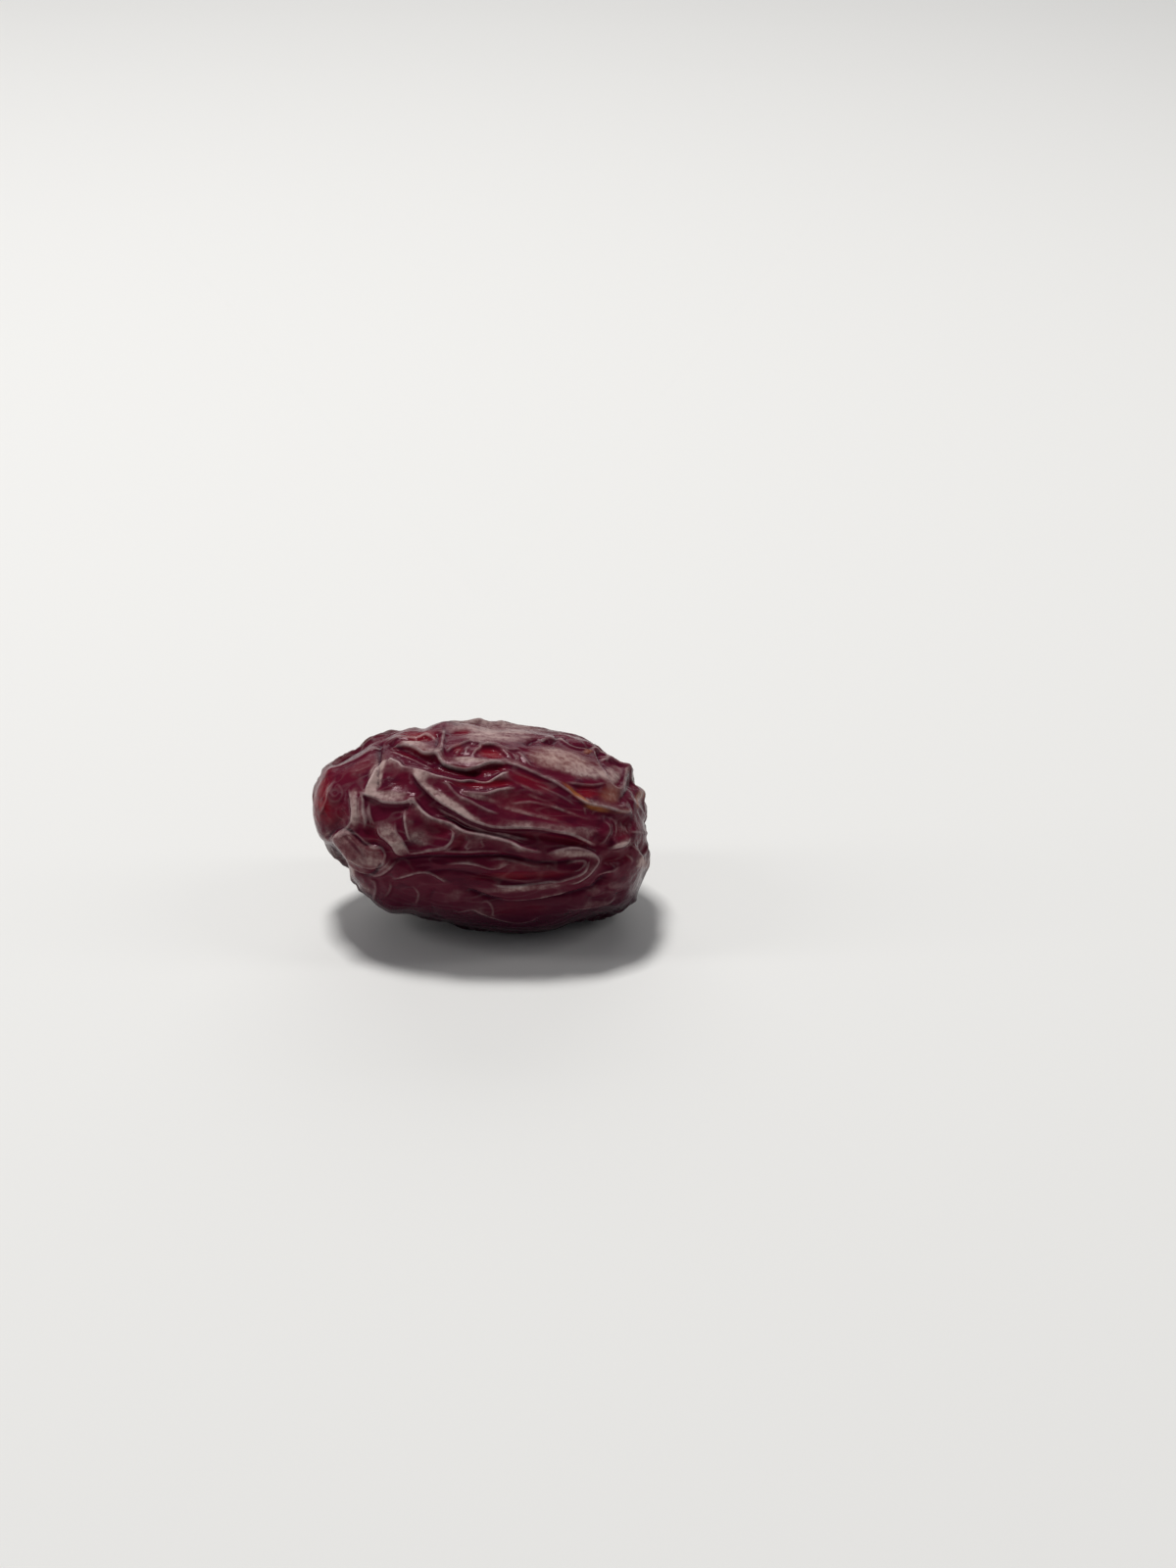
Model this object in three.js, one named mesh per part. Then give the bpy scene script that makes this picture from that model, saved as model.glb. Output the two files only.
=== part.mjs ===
// A medjool date: one dried fruit, whole, lying on its side, with its skin drawn up in folds.
// Millimetres, +Z up. +X runs along the fruit from its tip to its stem end, and the fruit rests on z = 0.
import * as THREE from 'three';
import { mergeVertices } from 'three/addons/utils/BufferGeometryUtils.js';

// Driving dimensions: the plump body that the folds stand on
const HALF_LENGTH = 22.35;
const HALF_WIDTH = 13.45;
const HALF_THICKNESS = 13.25;
const CENTRE_HEIGHT = 13.55; // a little under the folded half thickness, which leaves a flat spot to rest on
const TIP_BLUNTNESS = 2.0; // exponent of the body's outline: 2 is an ellipse, more is blunter
const STEM_BLUNTNESS = 3.0;
const AXIS_SLOPE = 0.047; // the tip is carried a little higher than the stem end
const AXIS_BEND = 1.8; // how far both ends curve away from the straight axis

// The side that the folds are drawn on: seen from the front and above, on a grid centred on the fruit
const VIEW_ELEVATION = THREE.MathUtils.degToRad(30);
const VIEW_DISTANCE = 308;
const GRID = 1 / 7.5;
const AIM_LIMIT = 0.985; // of the body's outline: no route runs nearer to it than this
const AIMING_PASSES = 10;

// Skin
const MESH_DETAIL = 23; // the sphere it starts from has 20 * (detail + 1)^2 triangles
const MIDDLE_CROWDING = 0.8; // under 1 moves the mesh's points from the two ends towards the middle
const SEEN_CROWDING = 0.38; // and this moves them towards the side that is seen
const CREST_ROUNDING = 0.4;
const FOLD_FADE = 1.6; // length over which a fold rises from nothing at each end
const DROP_REACH = 0.55; // how fast a fold's steep side falls
const MOAT_DEPTH = 0.75; // the hollow at the foot of the steep side, as a share of the fold's height
const MOAT_REACH = 0.9;
const THIN_RIDGE = 0.6; // the reach of a ridge that falls away on both sides, as a share of a fold's
const REACH_LIMIT = 4.5; // a fold moves no skin further than this many reaches from its crest

// Stem scar, at the blunt end
const SCAR_AIM = new THREE.Vector3(1, 0, 0.14).normalize();
const SCAR_RADIUS = 1.6;
const SCAR_DEPTH = 1.0;
const STUB_RADIUS = 0.85;
const STUB_HEIGHT = 1.0;
const PUCKERS = 11;
const PUCKER_STARTS = [0.1, 0.22]; // how far from the scar a pucker begins and turns, as shares of the body
const PUCKER_LEAST_END = 0.34;
const PUCKER_END_RANGE = 0.34;
const PUCKER_JITTER = 0.6; // of the angle between two puckers
const PUCKER_BEND = 0.4;
const PUCKER_LEAST_HEIGHT = 0.35;
const PUCKER_HEIGHT_RANGE = 0.3;
const PUCKER_REACH = 1.1;

// Skin colour
const SKIN = { color: 0x4a0f14, roughness: 0.4, metalness: 0 };

const VIEW_RIGHT = new THREE.Vector3(1, 0, 0);
const VIEW_UP = new THREE.Vector3(0, Math.sin(VIEW_ELEVATION), Math.cos(VIEW_ELEVATION));
const VIEW_TOWARD = new THREE.Vector3(0, -Math.cos(VIEW_ELEVATION), Math.sin(VIEW_ELEVATION));

// A fold of the side that is seen, with its route from left to right in grid steps across and up. Drop is the
// side that falls away steeply: above, below, both for a thin ridge, or neither for a crease.
const seenFold = (name, drop, height, reach, route) => ({ name, drop, height, reach, route });

// A swelling or a hollow of the same side: an ellipse on the grid, turned by so many degrees
const lump = (name, middle, halfSizes, turn, lift) => ({ name, middle, halfSizes, turn, lift });

const SEEN_FOLDS = [
  seenFold('shoulder', 'below', 0.68, 1.3, [
    [-98, 86], [-86, 87], [-76, 86], [-68, 83], [-61, 79], [-54, 77], [-46, 76], [-42, 71], [-37, 66],
    [-28, 63], [-18, 61], [-10, 61], [0, 63], [12, 66], [22, 66], [33, 64],
  ]),
  seenFold('shoulder ridge', 'below', 0.4, 0.9, [
    [20, 67], [33, 64], [45, 60], [55, 56], [66, 51], [77, 46], [87, 40], [95, 35], [103, 30],
  ]),
  seenFold('stem lip', 'below', 0.48, 0.9, [
    [97, 34], [103, 30], [108, 26], [116, 22], [126, 20], [136, 18], [146, 15], [155, 14], [161, 18],
  ]),
  seenFold('trough', '', -0.6, 0.9, [
    [-92, 81], [-75, 77], [-60, 70], [-48, 65], [-30, 57], [-12, 53], [6, 51],
  ]),
  seenFold('brow', 'above', 0.72, 1.2, [
    [-97, 75], [-93, 69], [-86, 66], [-82, 62], [-74, 60], [-64, 57], [-54, 54], [-43, 51], [-31, 49],
    [-20, 47], [-9, 48], [2, 46], [9, 46], [16, 49], [23, 53], [30, 57], [31, 61],
  ]),
  seenFold('long band', 'below', 0.6, 1.3, [
    [-70, 57], [-65, 47], [-57, 38], [-46, 28], [-32, 19], [-20, 12], [-9, 6], [3, 2], [14, -1], [30, -2],
    [48, -2], [64, -3], [80, -6], [97, -9], [109, -14], [119, -19], [127, -21],
  ]),
  seenFold('band end', 'below', 0.48, 0.9, [
    [125, -21], [131, -17], [134, -11], [137, -5], [135, 2], [129, 6],
  ]),
  seenFold('middle crest', 'above', 0.64, 1.3, [
    [-80, 26], [-72, 27], [-66, 22], [-60, 15], [-50, 8], [-40, 5], [-30, 2], [-20, -4], [-12, -7], [0, -9],
    [12, -12], [22, -14], [35, -18], [45, -23], [60, -27], [70, -28],
  ]),
  seenFold('knee', 'above', 0.44, 1.3, [[-118, 31], [-118, 36], [-111, 52], [-106, 63], [-100, 71]]),
  seenFold('knee foot', 'below', 0.5, 0.9, [
    [-128, 36], [-119, 32], [-112, 30], [-107, 28], [-101, 25], [-92, 24], [-80, 24], [-70, 26], [-62, 21],
  ]),
  seenFold('grey crease', '', -0.64, 0.4, [[-97, 84], [-97, 60], [-98, 45], [-98, 30]]),
  seenFold('left upright', 'above', 0.48, 0.9, [[-119, 38], [-121, 28], [-121, 15], [-119, 5], [-122, -4]]),
  seenFold('upper rim', 'below', 0.24, 1.0, [
    [-158, 54], [-150, 60], [-140, 65], [-125, 72], [-110, 79], [-97, 86],
  ]),
  seenFold('upper lip', 'below', 0.44, 1.0, [
    [-100, 87], [-80, 92], [-66, 93], [-58, 96], [-51, 94], [-44, 88],
  ]),
  seenFold('cross fold', 'above', 0.36, 0.7, [[-36, 99], [-38, 90], [-39, 80], [-38, 70]]),
  seenFold('top facet edge', 'below', 0.36, 0.9, [
    [-36, 73], [-29, 80], [-19, 84], [-10, 87], [-3, 86], [5, 83], [15, 83], [25, 80], [33, 78], [41, 79],
    [47, 76],
  ]),
  seenFold('top link', 'both', 0.36, 0.7, [[39, 79], [44, 72], [50, 65], [57, 58]]),
  seenFold('far crease', '', -0.48, 0.4, [
    [46, 77], [50, 83], [57, 85], [66, 83], [73, 83], [77, 88], [80, 88], [86, 82], [93, 78], [102, 76],
    [110, 75], [117, 73],
  ]),
  seenFold('far rim', 'below', 0.36, 0.9, [[55, 89], [66, 90], [80, 91], [88, 87], [100, 81], [116, 79]]),
  seenFold('small facet crease', '', -0.48, 0.5, [[116, 75], [118, 65], [121, 58], [123, 52]]),
  seenFold('small facet loop', 'above', 0.32, 0.7, [
    [118, 80], [122, 71], [127, 62], [132, 51], [137, 43], [145, 38], [150, 43], [149, 54], [144, 64],
    [134, 69], [125, 68],
  ]),
  seenFold('far stem edge', 'below', 0.44, 1.0, [
    [114, 81], [123, 79], [132, 74], [141, 67], [149, 61], [156, 53], [162, 43], [165, 35],
  ]),
  seenFold('far facet foot', 'below', 0.32, 0.9, [[88, 45], [100, 43], [112, 42], [122, 42], [132, 45]]),
  seenFold('eye crest', 'above', 0.4, 0.9, [
    [-23, 36], [-12, 34], [0, 33], [8, 33], [18, 36], [28, 38], [40, 40],
  ]),
  seenFold('eye nose', 'above', 0.36, 0.9, [
    [-42, 46], [-33, 42], [-28, 36], [-20, 29], [-10, 25], [1, 19], [13, 14], [22, 12],
  ]),
  seenFold('pillow upper crease', '', -0.5, 0.45, [
    [-151, -14], [-144, -7], [-136, -3], [-126, -4], [-119, -10], [-110, -17], [-101, -18], [-94, -23],
    [-89, -31],
  ]),
  seenFold('pillow lower crease', '', -0.62, 0.45, [
    [-152, -18], [-150, -26], [-140, -30], [-130, -37], [-120, -44], [-110, -48], [-102, -46], [-95, -38],
    [-88, -33],
  ]),
  seenFold('pillow strap', 'below', 0.4, 0.8, [
    [-153, -30], [-145, -34], [-135, -39], [-125, -46], [-113, -52], [-104, -51], [-95, -45], [-86, -36],
  ]),
  seenFold('tip cheek', 'below', 0.36, 0.9, [
    [-137, 40], [-133, 30], [-131, 18], [-131, 8], [-136, 0], [-146, -7], [-153, -16],
  ]),
  seenFold('cheek strip', 'below', 0.4, 0.9, [
    [-107, 4], [-105, -8], [-97, -14], [-90, -21], [-85, -29], [-78, -33],
  ]),
  seenFold('cheek strip edge', 'above', 0.28, 0.8, [[-88, 6], [-86, -6], [-80, -14], [-75, -24], [-71, -32]]),
  seenFold('cheek fold', 'below', 0.44, 1.0, [[-78, 20], [-78, 8], [-76, -4], [-73, -14], [-69, -19]]),
  seenFold('cheek foot', 'both', 0.36, 0.8, [
    [-64, -26], [-48, -24], [-36, -22], [-29, -16], [-27, -8], [-29, 1],
  ]),
  seenFold('long crease', '', -0.52, 0.45, [
    [-88, -34], [-70, -32], [-50, -30], [-30, -30], [-10, -30], [10, -29], [30, -30], [45, -33], [60, -36],
    [80, -36], [97, -33],
  ]),
  seenFold('lower thread', 'below', 0.36, 0.8, [
    [-36, -41], [-25, -39], [-12, -39], [0, -41], [10, -44], [18, -44], [25, -41], [35, -36],
  ]),
  seenFold('lower thread crease', '', -0.36, 0.6, [
    [-60, -47], [-45, -45], [-30, -44], [-15, -46], [0, -49], [15, -53], [35, -57], [60, -56], [80, -53],
  ]),
  seenFold('lens band', 'both', 0.44, 1.0, [
    [12, -62], [25, -63], [40, -63], [55, -61], [70, -59], [85, -57], [98, -53], [108, -48], [113, -42],
    [111, -36],
  ]),
  seenFold('lens lower crease', '', -0.68, 0.5, [
    [-18, -60], [-5, -65], [8, -70], [20, -73], [35, -74], [52, -73], [70, -70], [88, -67], [102, -63],
    [114, -56], [122, -48], [127, -42],
  ]),
  seenFold('lens end', 'above', 0.44, 0.9, [
    [68, -31], [82, -26], [97, -23], [110, -25], [120, -30], [125, -36], [122, -42], [114, -51], [103, -58],
    [92, -62],
  ]),
  seenFold('under crest', 'below', 0.4, 1.0, [
    [18, -78], [32, -79], [48, -78], [64, -76], [80, -72], [96, -69],
  ]),
  seenFold('stem middle tuck', 'below', 0.48, 0.9, [
    [133, -24], [142, -23], [150, -21], [156, -17], [161, -11],
  ]),
  seenFold('stem lower tuck', 'both', 0.4, 0.8, [[121, -55], [130, -50], [139, -47], [149, -42]]),
  seenFold('stem flap', 'above', 0.44, 0.8, [[159, -19], [165, -26], [170, -33], [170, -41]]),
  seenFold('chin crest', 'above', 0.36, 0.8, [
    [-117, -55], [-109, -57], [-106, -63], [-107, -70], [-104, -77],
  ]),
  seenFold('belly line', 'below', 0.36, 1.1, [[-92, -56], [-78, -52], [-62, -48], [-45, -52], [-34, -60]]),
  seenFold('belly drop', '', -0.36, 0.9, [[-42, -60], [-49, -74], [-45, -88], [-36, -97]]),
  seenFold('belly long', 'below', 0.4, 1.2, [
    [-28, -90], [-8, -86], [3, -90], [20, -96], [44, -98], [66, -94],
  ]),
  seenFold('belly stem', 'below', 0.4, 1.2, [[88, -87], [105, -86], [120, -85], [134, -81], [147, -74]]),
  seenFold('belly stem crease', '', -0.4, 0.7, [[100, -70], [118, -73], [132, -71], [147, -65]]),
];

const LUMPS = [
  lump('tip top flat', [-134, 73], [22, 12], 27, -0.5),
  lump('tip shoulder', [-158, 58], [10, 8], 30, 0.35),
  lump('nape', [-78, 100], [22, 9], 10, 0.6),
  lump('tip underside flat', [-149, -36], [22, 13], -50, -1.3),
  lump('chin swell', [-95, -87], [24, 16], -35, 1.15),
  lump('belly swell', [20, -109], [80, 12], 3, 0.95),
  lump('crown', [-41, 103], [16, 10], 0, 0.6),
  lump('upper back', [-20, 104], [30, 8], 0, 0.6),
  lump('back flat', [14, 110], [28, 12], 0, -0.6),
  lump('stem shoulder', [155, 59], [12, 11], -40, 1.7),
  lump('stem corner', [166, 42], [8, 14], -10, 1.7),
  lump('far back', [103, 89], [30, 9], -20, 0.6),
  lump('stem foot', [164, -62], [12, 14], 20, -0.15),
  lump('stem underside', [114, -95], [30, 12], 10, -0.6),
  lump('tip knob', [-147, 33], [7, 9], 0, 0.3),
  lump('tip hollow', [-147, 12], [12, 15], -15, -0.2),
  lump('tip strap', [-126, 16], [5, 18], 0, 0.15),
  lump('recess', [-80, 49], [12, 12], 20, -0.25),
  lump('band head', [-60, 50], [8, 9], 40, 0.2),
  lump('pillow', [-121, -25], [31, 16], -20, 0.6),
  lump('chin knob', [-114, -62], [8, 10], -20, 0.4),
  lump('chin bump', [-97, -62], [7, 8], 0, 0.35),
  lump('lip facet', [-62, 90], [20, 4], 0, -0.5),
  lump('upper trough', [-66, 74], [26, 5], -18, -0.2),
  lump('top hollow', [-18, 94], [10, 2], 8, -0.25),
  lump('right lobe', [12, 73], [14, 6], -8, -0.15),
  lump('lid hollow', [12, 58], [16, 4], 8, -0.15),
  lump('eye hollow', [4, 42], [28, 4], 2, -0.3),
  lump('plain', [58, 19], [44, 12], -14, -0.3),
  lump('band', [-28, 19], [42, 6], -35, 0.15),
  lump('red facet', [110, 35], [11, 7], -10, -0.15),
  lump('stem hollow', [145, -3], [9, 12], 0, -0.3),
  lump('stem dark', [138, -33], [16, 7], 8, -0.35),
  lump('flap', [165, -38], [6, 7], 0, 0.2),
  lump('band trough', [80, -14], [45, 4], -8, -0.2),
  lump('lens core', [45, -41], [32, 7], -3, 0.15),
  lump('lens trough', [40, -51], [45, 4], 3, -0.2),
  lump('cheek dark', [-108, -6], [7, 12], 20, -0.3),
  lump('cheek hollow', [-42, -2], [14, 9], -15, -0.4),
  lump('middle knob', [-6, -20], [11, 6], 30, 0.15),
  lump('dark gully', [-21, -17], [5, 10], -35, -0.25),
  lump('belly patch', [-25, -71], [14, 7], 20, 0.25),
  lump('stem patch', [117, -65], [7, 7], 0, 0.2),
  lump('second stem patch', [136, -60], [8, 6], 0, 0.2),
  lump('belly stem patch', [118, -82], [17, 5], 8, 0.15),
];

// The side that is not seen: long cells with ridges between them, in rings round the fruit
const RINGS = 6;
const RING_SPACING = 7.2;
const RING_CELLS = 21;
const CELL_STRETCH = 3.2; // how much longer than wide the cells are
const CELL_SWAY = 1.2;
const CELL_STEP = 1.4; // how far one cell stands out beyond the next, at most
const CELL_SOFTNESS = 2.0; // how gently one cell's step passes into the next one's
const CELL_JITTER_ALONG = 0.9; // of the spacing between two rings
const CELL_JITTER_ROUND = 0.7; // of the angle between two cells
const RIDGE_HEIGHT = 1.0;
const RIDGE_REACH = 0.85;
const RIDGE_STRENGTH = 0.6; // the share of its height that a ridge has on average, since it comes and goes
const RIDGE_STRENGTH_RANGE = 0.4;
const SEED = 7;

// Where the two sides meet, as the skin's tilt away from the line of sight: the lumps end and the cells begin
const LUMPS_END = -0.75;
const LUMPS_BLEND = 0.7;
const CELLS_START = 0.12;
const CELLS_BLEND = 0.35;

// The smooth body

// Point of the smooth body in the direction of a unit vector, from the middle of the fruit
function bodyPoint(direction) {
  const bluntness = direction.x < 0 ? TIP_BLUNTNESS : STEM_BLUNTNESS;
  const round = Math.hypot(direction.y, direction.z);
  const size = (Math.abs(direction.x) ** bluntness + round ** bluntness) ** (1 / bluntness);
  const halfSizes = new THREE.Vector3(HALF_LENGTH, HALF_WIDTH, HALF_THICKNESS);
  const point = halfSizes.multiply(direction).divideScalar(size);
  point.z -= AXIS_SLOPE * point.x + AXIS_BEND * (point.x / HALF_LENGTH) ** 3;
  return point;
}

// Outward normal of the smooth body, from two small steps across it
function bodyNormal(direction) {
  const step = 1e-3;
  const aside = new THREE.Vector3(0, 1, 0);
  if (Math.abs(direction.y) > 0.9) aside.set(0, 0, 1);
  const first = new THREE.Vector3().crossVectors(aside, direction).normalize();
  const second = new THREE.Vector3().crossVectors(direction, first);
  const here = bodyPoint(direction);
  const alongFirst = bodyPoint(direction.clone().addScaledVector(first, step).normalize()).sub(here);
  const alongSecond = bodyPoint(direction.clone().addScaledVector(second, step).normalize()).sub(here);
  return alongFirst.cross(alongSecond).normalize();
}

// Where a point shows in the side view, in millimetres across and up
function sideView(point) {
  const nearness = 1 - point.dot(VIEW_TOWARD) / VIEW_DISTANCE;
  return new THREE.Vector2(point.dot(VIEW_RIGHT), point.dot(VIEW_UP)).divideScalar(nearness);
}

// Point of the body whose skin, raised by a height, shows at a place of the side view
function liftToBody(place, height) {
  const swell = 1 + height / HALF_THICKNESS;
  const aim = new THREE.Vector2(place.x / HALF_LENGTH, place.y / HALF_THICKNESS);
  let point;
  for (let pass = 0; pass < AIMING_PASSES; pass += 1) {
    aim.clampLength(0, AIM_LIMIT);
    const direction = new THREE.Vector3()
      .addScaledVector(VIEW_RIGHT, aim.x)
      .addScaledVector(VIEW_UP, aim.y)
      .addScaledVector(VIEW_TOWARD, Math.sqrt(1 - aim.lengthSq()));
    point = bodyPoint(direction);
    const shown = sideView(point.clone().multiplyScalar(swell));
    aim.x += (place.x - shown.x) / HALF_LENGTH;
    aim.y += (place.y - shown.y) / HALF_THICKNESS;
  }
  return point;
}

// Point of the body a distance along from its middle and an angle round from the line of sight
function aroundBody(along, degrees) {
  const angle = THREE.MathUtils.degToRad(degrees);
  const share = THREE.MathUtils.clamp(along / HALF_LENGTH, -AIM_LIMIT, AIM_LIMIT);
  const round = Math.sqrt(1 - share * share);
  const direction = new THREE.Vector3()
    .addScaledVector(VIEW_RIGHT, share)
    .addScaledVector(VIEW_UP, round * Math.sin(angle))
    .addScaledVector(VIEW_TOWARD, round * Math.cos(angle));
  return bodyPoint(direction);
}

// Seeded random numbers from 0 to 1
function randomFrom(seed) {
  let state = seed;
  return () => {
    state = (state * 16807) % 2147483647;
    return state / 2147483647;
  };
}

// Folds

// A fold's centre line as short straight stretches on the body
function foldOf(style, points) {
  const lengths = [0];
  for (let i = 1; i < points.length; i += 1) {
    lengths.push(lengths[i - 1] + points[i].distanceTo(points[i - 1]));
  }
  return { ...style, points, lengths };
}

function smoothRoute(route, samplesPerSpan) {
  const curve = new THREE.CatmullRomCurve3(route, false, 'catmullrom', 0.5);
  return curve.getPoints((route.length - 1) * samplesPerSpan);
}

function seenFolds() {
  return SEEN_FOLDS.map((fold) => {
    const flat = fold.route.map(([across, up]) => new THREE.Vector3(across * GRID, up * GRID, 0));
    return foldOf(fold, smoothRoute(flat, 3).map((place) => liftToBody(place, fold.height)));
  });
}

// Middles of the cells, with a share for each by which it stands out or in
function makeCells(random) {
  const cells = [];
  for (let ring = 0; ring < RINGS; ring += 1) {
    for (let cell = 0; cell < RING_CELLS; cell += 1) {
      const along = (ring - (RINGS - 1) / 2 + CELL_JITTER_ALONG * (random() - 0.5)) * RING_SPACING;
      const turn = cell + (ring % 2) / 2 + CELL_JITTER_ROUND * (random() - 0.5);
      cells.push({ middle: swayed(aroundBody(along, (turn * 360) / RING_CELLS)), step: random() - 0.5 });
    }
  }
  return cells;
}

// A point drawn in lengthwise and moved sideways in waves, which is how the cells are measured
function swayed({ x, y, z }) {
  const swayY = CELL_SWAY * Math.sin(0.45 * x + 0.3 * z);
  const swayZ = CELL_SWAY * Math.sin(0.4 * x + 0.35 * y + 1);
  return new THREE.Vector3(x / CELL_STRETCH, y + swayY, z + swayZ);
}

// Height of the ridges between cells and of the cells' own steps
function cellHeight(cells, point) {
  const here = swayed(point);
  const gaps = cells.map((cell) => cell.middle.distanceTo(here));
  const [first, second] = [...gaps].sort((a, b) => a - b);
  let total = 0;
  let step = 0;
  cells.forEach((cell, i) => {
    const nearness = Math.exp((first ** 2 - gaps[i] ** 2) / CELL_SOFTNESS);
    total += nearness;
    step += nearness * cell.step;
  });
  const wave = Math.sin(0.31 * point.x + 0.5 * point.y - 0.37 * point.z);
  const strength = RIDGE_STRENGTH + RIDGE_STRENGTH_RANGE * wave;
  const rounded = Math.hypot((second - first) / 2, CREST_ROUNDING) - CREST_ROUNDING;
  return RIDGE_HEIGHT * strength * Math.exp(-rounded / RIDGE_REACH) + (CELL_STEP * step) / total;
}

// Puckers that run in to the stem scar from all round it
function puckerFolds(random) {
  const side = new THREE.Vector3(0, 1, 0);
  const upright = new THREE.Vector3().crossVectors(SCAR_AIM, side).normalize();
  const folds = [];
  for (let i = 0; i < PUCKERS; i += 1) {
    const turn = ((i + PUCKER_JITTER * random()) / PUCKERS) * 2 * Math.PI;
    const end = PUCKER_LEAST_END + PUCKER_END_RANGE * random();
    const route = [...PUCKER_STARTS, end].map((spread, step) => {
      const angle = turn + PUCKER_BEND * step * (random() - 0.5);
      return bodyPoint(
        SCAR_AIM.clone()
          .addScaledVector(side, spread * Math.cos(angle))
          .addScaledVector(upright, spread * Math.sin(angle))
          .normalize(),
      );
    });
    const height = PUCKER_LEAST_HEIGHT + PUCKER_HEIGHT_RANGE * random();
    folds.push(foldOf({ drop: 'both', height, reach: PUCKER_REACH }, smoothRoute(route, 4)));
  }
  return folds;
}

function smoothRise(share) {
  const t = THREE.MathUtils.clamp(share, 0, 1);
  return t * t * (3 - 2 * t);
}

// Height that one fold adds at a point of the body
function foldHeight(fold, point, normal) {
  let nearest = Infinity;
  let side = 0;
  let along = 0;
  for (let i = 1; i < fold.points.length; i += 1) {
    const start = fold.points[i - 1];
    const stretch = new THREE.Vector3().subVectors(fold.points[i], start);
    const offset = new THREE.Vector3().subVectors(point, start);
    const share = THREE.MathUtils.clamp(offset.dot(stretch) / stretch.lengthSq(), 0, 1);
    offset.addScaledVector(stretch, -share);
    const distance = offset.length();
    if (distance < nearest) {
      nearest = distance;
      side = new THREE.Vector3().crossVectors(normal, stretch).dot(offset);
      along = fold.lengths[i - 1] + share * stretch.length();
    }
  }
  if (nearest > REACH_LIMIT * Math.max(fold.reach, MOAT_REACH)) return 0;
  const whole = fold.lengths[fold.lengths.length - 1];
  const height = fold.height * smoothRise(along / FOLD_FADE) * smoothRise((whole - along) / FOLD_FADE);
  const rounded = Math.hypot(nearest, CREST_ROUNDING) - CREST_ROUNDING;
  if (fold.drop === 'both') return height * Math.exp(-rounded / (fold.reach * THIN_RIDGE));
  const steep = (fold.drop === 'above' && side > 0) || (fold.drop === 'below' && side < 0);
  if (!steep) return height * Math.exp(-rounded / fold.reach);
  const moat = MOAT_DEPTH * Math.exp(-rounded / MOAT_REACH);
  return height * ((1 + MOAT_DEPTH) * Math.exp(-rounded / DROP_REACH) - moat);
}

// Height that one lump adds: flat on top, with soft edges, and nothing on the side turned away
function lumpHeight({ middle, halfSizes, turn, lift }, shown, facing) {
  const offset = new THREE.Vector2(shown.x / GRID - middle[0], shown.y / GRID - middle[1]);
  offset.rotateAround(new THREE.Vector2(), -THREE.MathUtils.degToRad(turn));
  const share = (offset.x / halfSizes[0]) ** 2 + (offset.y / halfSizes[1]) ** 2;
  return lift * facing * Math.exp(-(share ** 2));
}

// Hollow of the stem scar, with the stub in its middle
function scarHeight(point, scar) {
  const distance = point.distanceTo(scar);
  const hollow = -SCAR_DEPTH * Math.exp(-((distance / SCAR_RADIUS) ** 2));
  const stub = STUB_HEIGHT * Math.exp(-((distance / STUB_RADIUS) ** 4));
  return hollow + stub;
}

// The fruit: a sphere's points carried to the body, then raised and lowered along its normals
function dateGeometry() {
  const random = randomFrom(SEED);
  const cells = makeCells(random);
  const folds = [...seenFolds(), ...puckerFolds(random)];
  const scar = bodyPoint(SCAR_AIM);
  const sphere = new THREE.IcosahedronGeometry(1, MESH_DETAIL);
  sphere.deleteAttribute('normal');
  sphere.deleteAttribute('uv');
  const geometry = mergeVertices(sphere, 1e-4);
  const position = geometry.getAttribute('position');
  const direction = new THREE.Vector3();
  for (let i = 0; i < position.count; i += 1) {
    direction.fromBufferAttribute(position, i);
    direction.x *= MIDDLE_CROWDING;
    direction.normalize().addScaledVector(VIEW_TOWARD, SEEN_CROWDING).normalize();
    const point = bodyPoint(direction);
    const normal = bodyNormal(direction);
    const shown = sideView(point);
    const tilt = normal.dot(VIEW_TOWARD);
    const facing = smoothRise((tilt - LUMPS_END) / LUMPS_BLEND);
    const away = smoothRise((CELLS_START - tilt) / CELLS_BLEND);
    let height = scarHeight(point, scar) + away * cellHeight(cells, point);
    for (const fold of folds) height += foldHeight(fold, point, normal);
    for (const each of LUMPS) height += lumpHeight(each, shown, facing);
    point.addScaledVector(normal, height);
    position.setXYZ(i, point.x, point.y, Math.max(0, point.z + CENTRE_HEIGHT));
  }
  geometry.computeBoundingBox();
  const { x, y } = geometry.boundingBox.getCenter(new THREE.Vector3());
  geometry.translate(-x, -y, 0);
  geometry.computeVertexNormals();
  return geometry;
}

const date = new THREE.Mesh(dateGeometry(), new THREE.MeshStandardMaterial(SKIN));
date.name = 'date';

const fruit = new THREE.Group();
fruit.add(date);

export default fruit;
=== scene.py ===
"""A medjool date on a pale floor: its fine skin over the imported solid, its finish, the light, the camera."""

import math

import bmesh
import bpy
import numpy as np
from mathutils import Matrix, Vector, noise


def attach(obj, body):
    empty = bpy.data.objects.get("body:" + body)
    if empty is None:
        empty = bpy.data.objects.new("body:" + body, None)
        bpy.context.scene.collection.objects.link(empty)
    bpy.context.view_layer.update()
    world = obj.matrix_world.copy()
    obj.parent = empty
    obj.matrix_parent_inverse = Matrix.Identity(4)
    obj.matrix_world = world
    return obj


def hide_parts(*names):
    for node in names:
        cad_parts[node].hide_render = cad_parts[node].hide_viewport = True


MM = 0.001

# The plump body that the folds stand on, in millimetres
HALF_LENGTH = 22.35
HALF_WIDTH = 13.45
HALF_THICKNESS = 13.25
CENTRE_HEIGHT = 13.55
TIP_BLUNTNESS = 2.0
STEM_BLUNTNESS = 3.0
AXIS_SLOPE = 0.047
AXIS_BEND = 1.8

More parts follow.
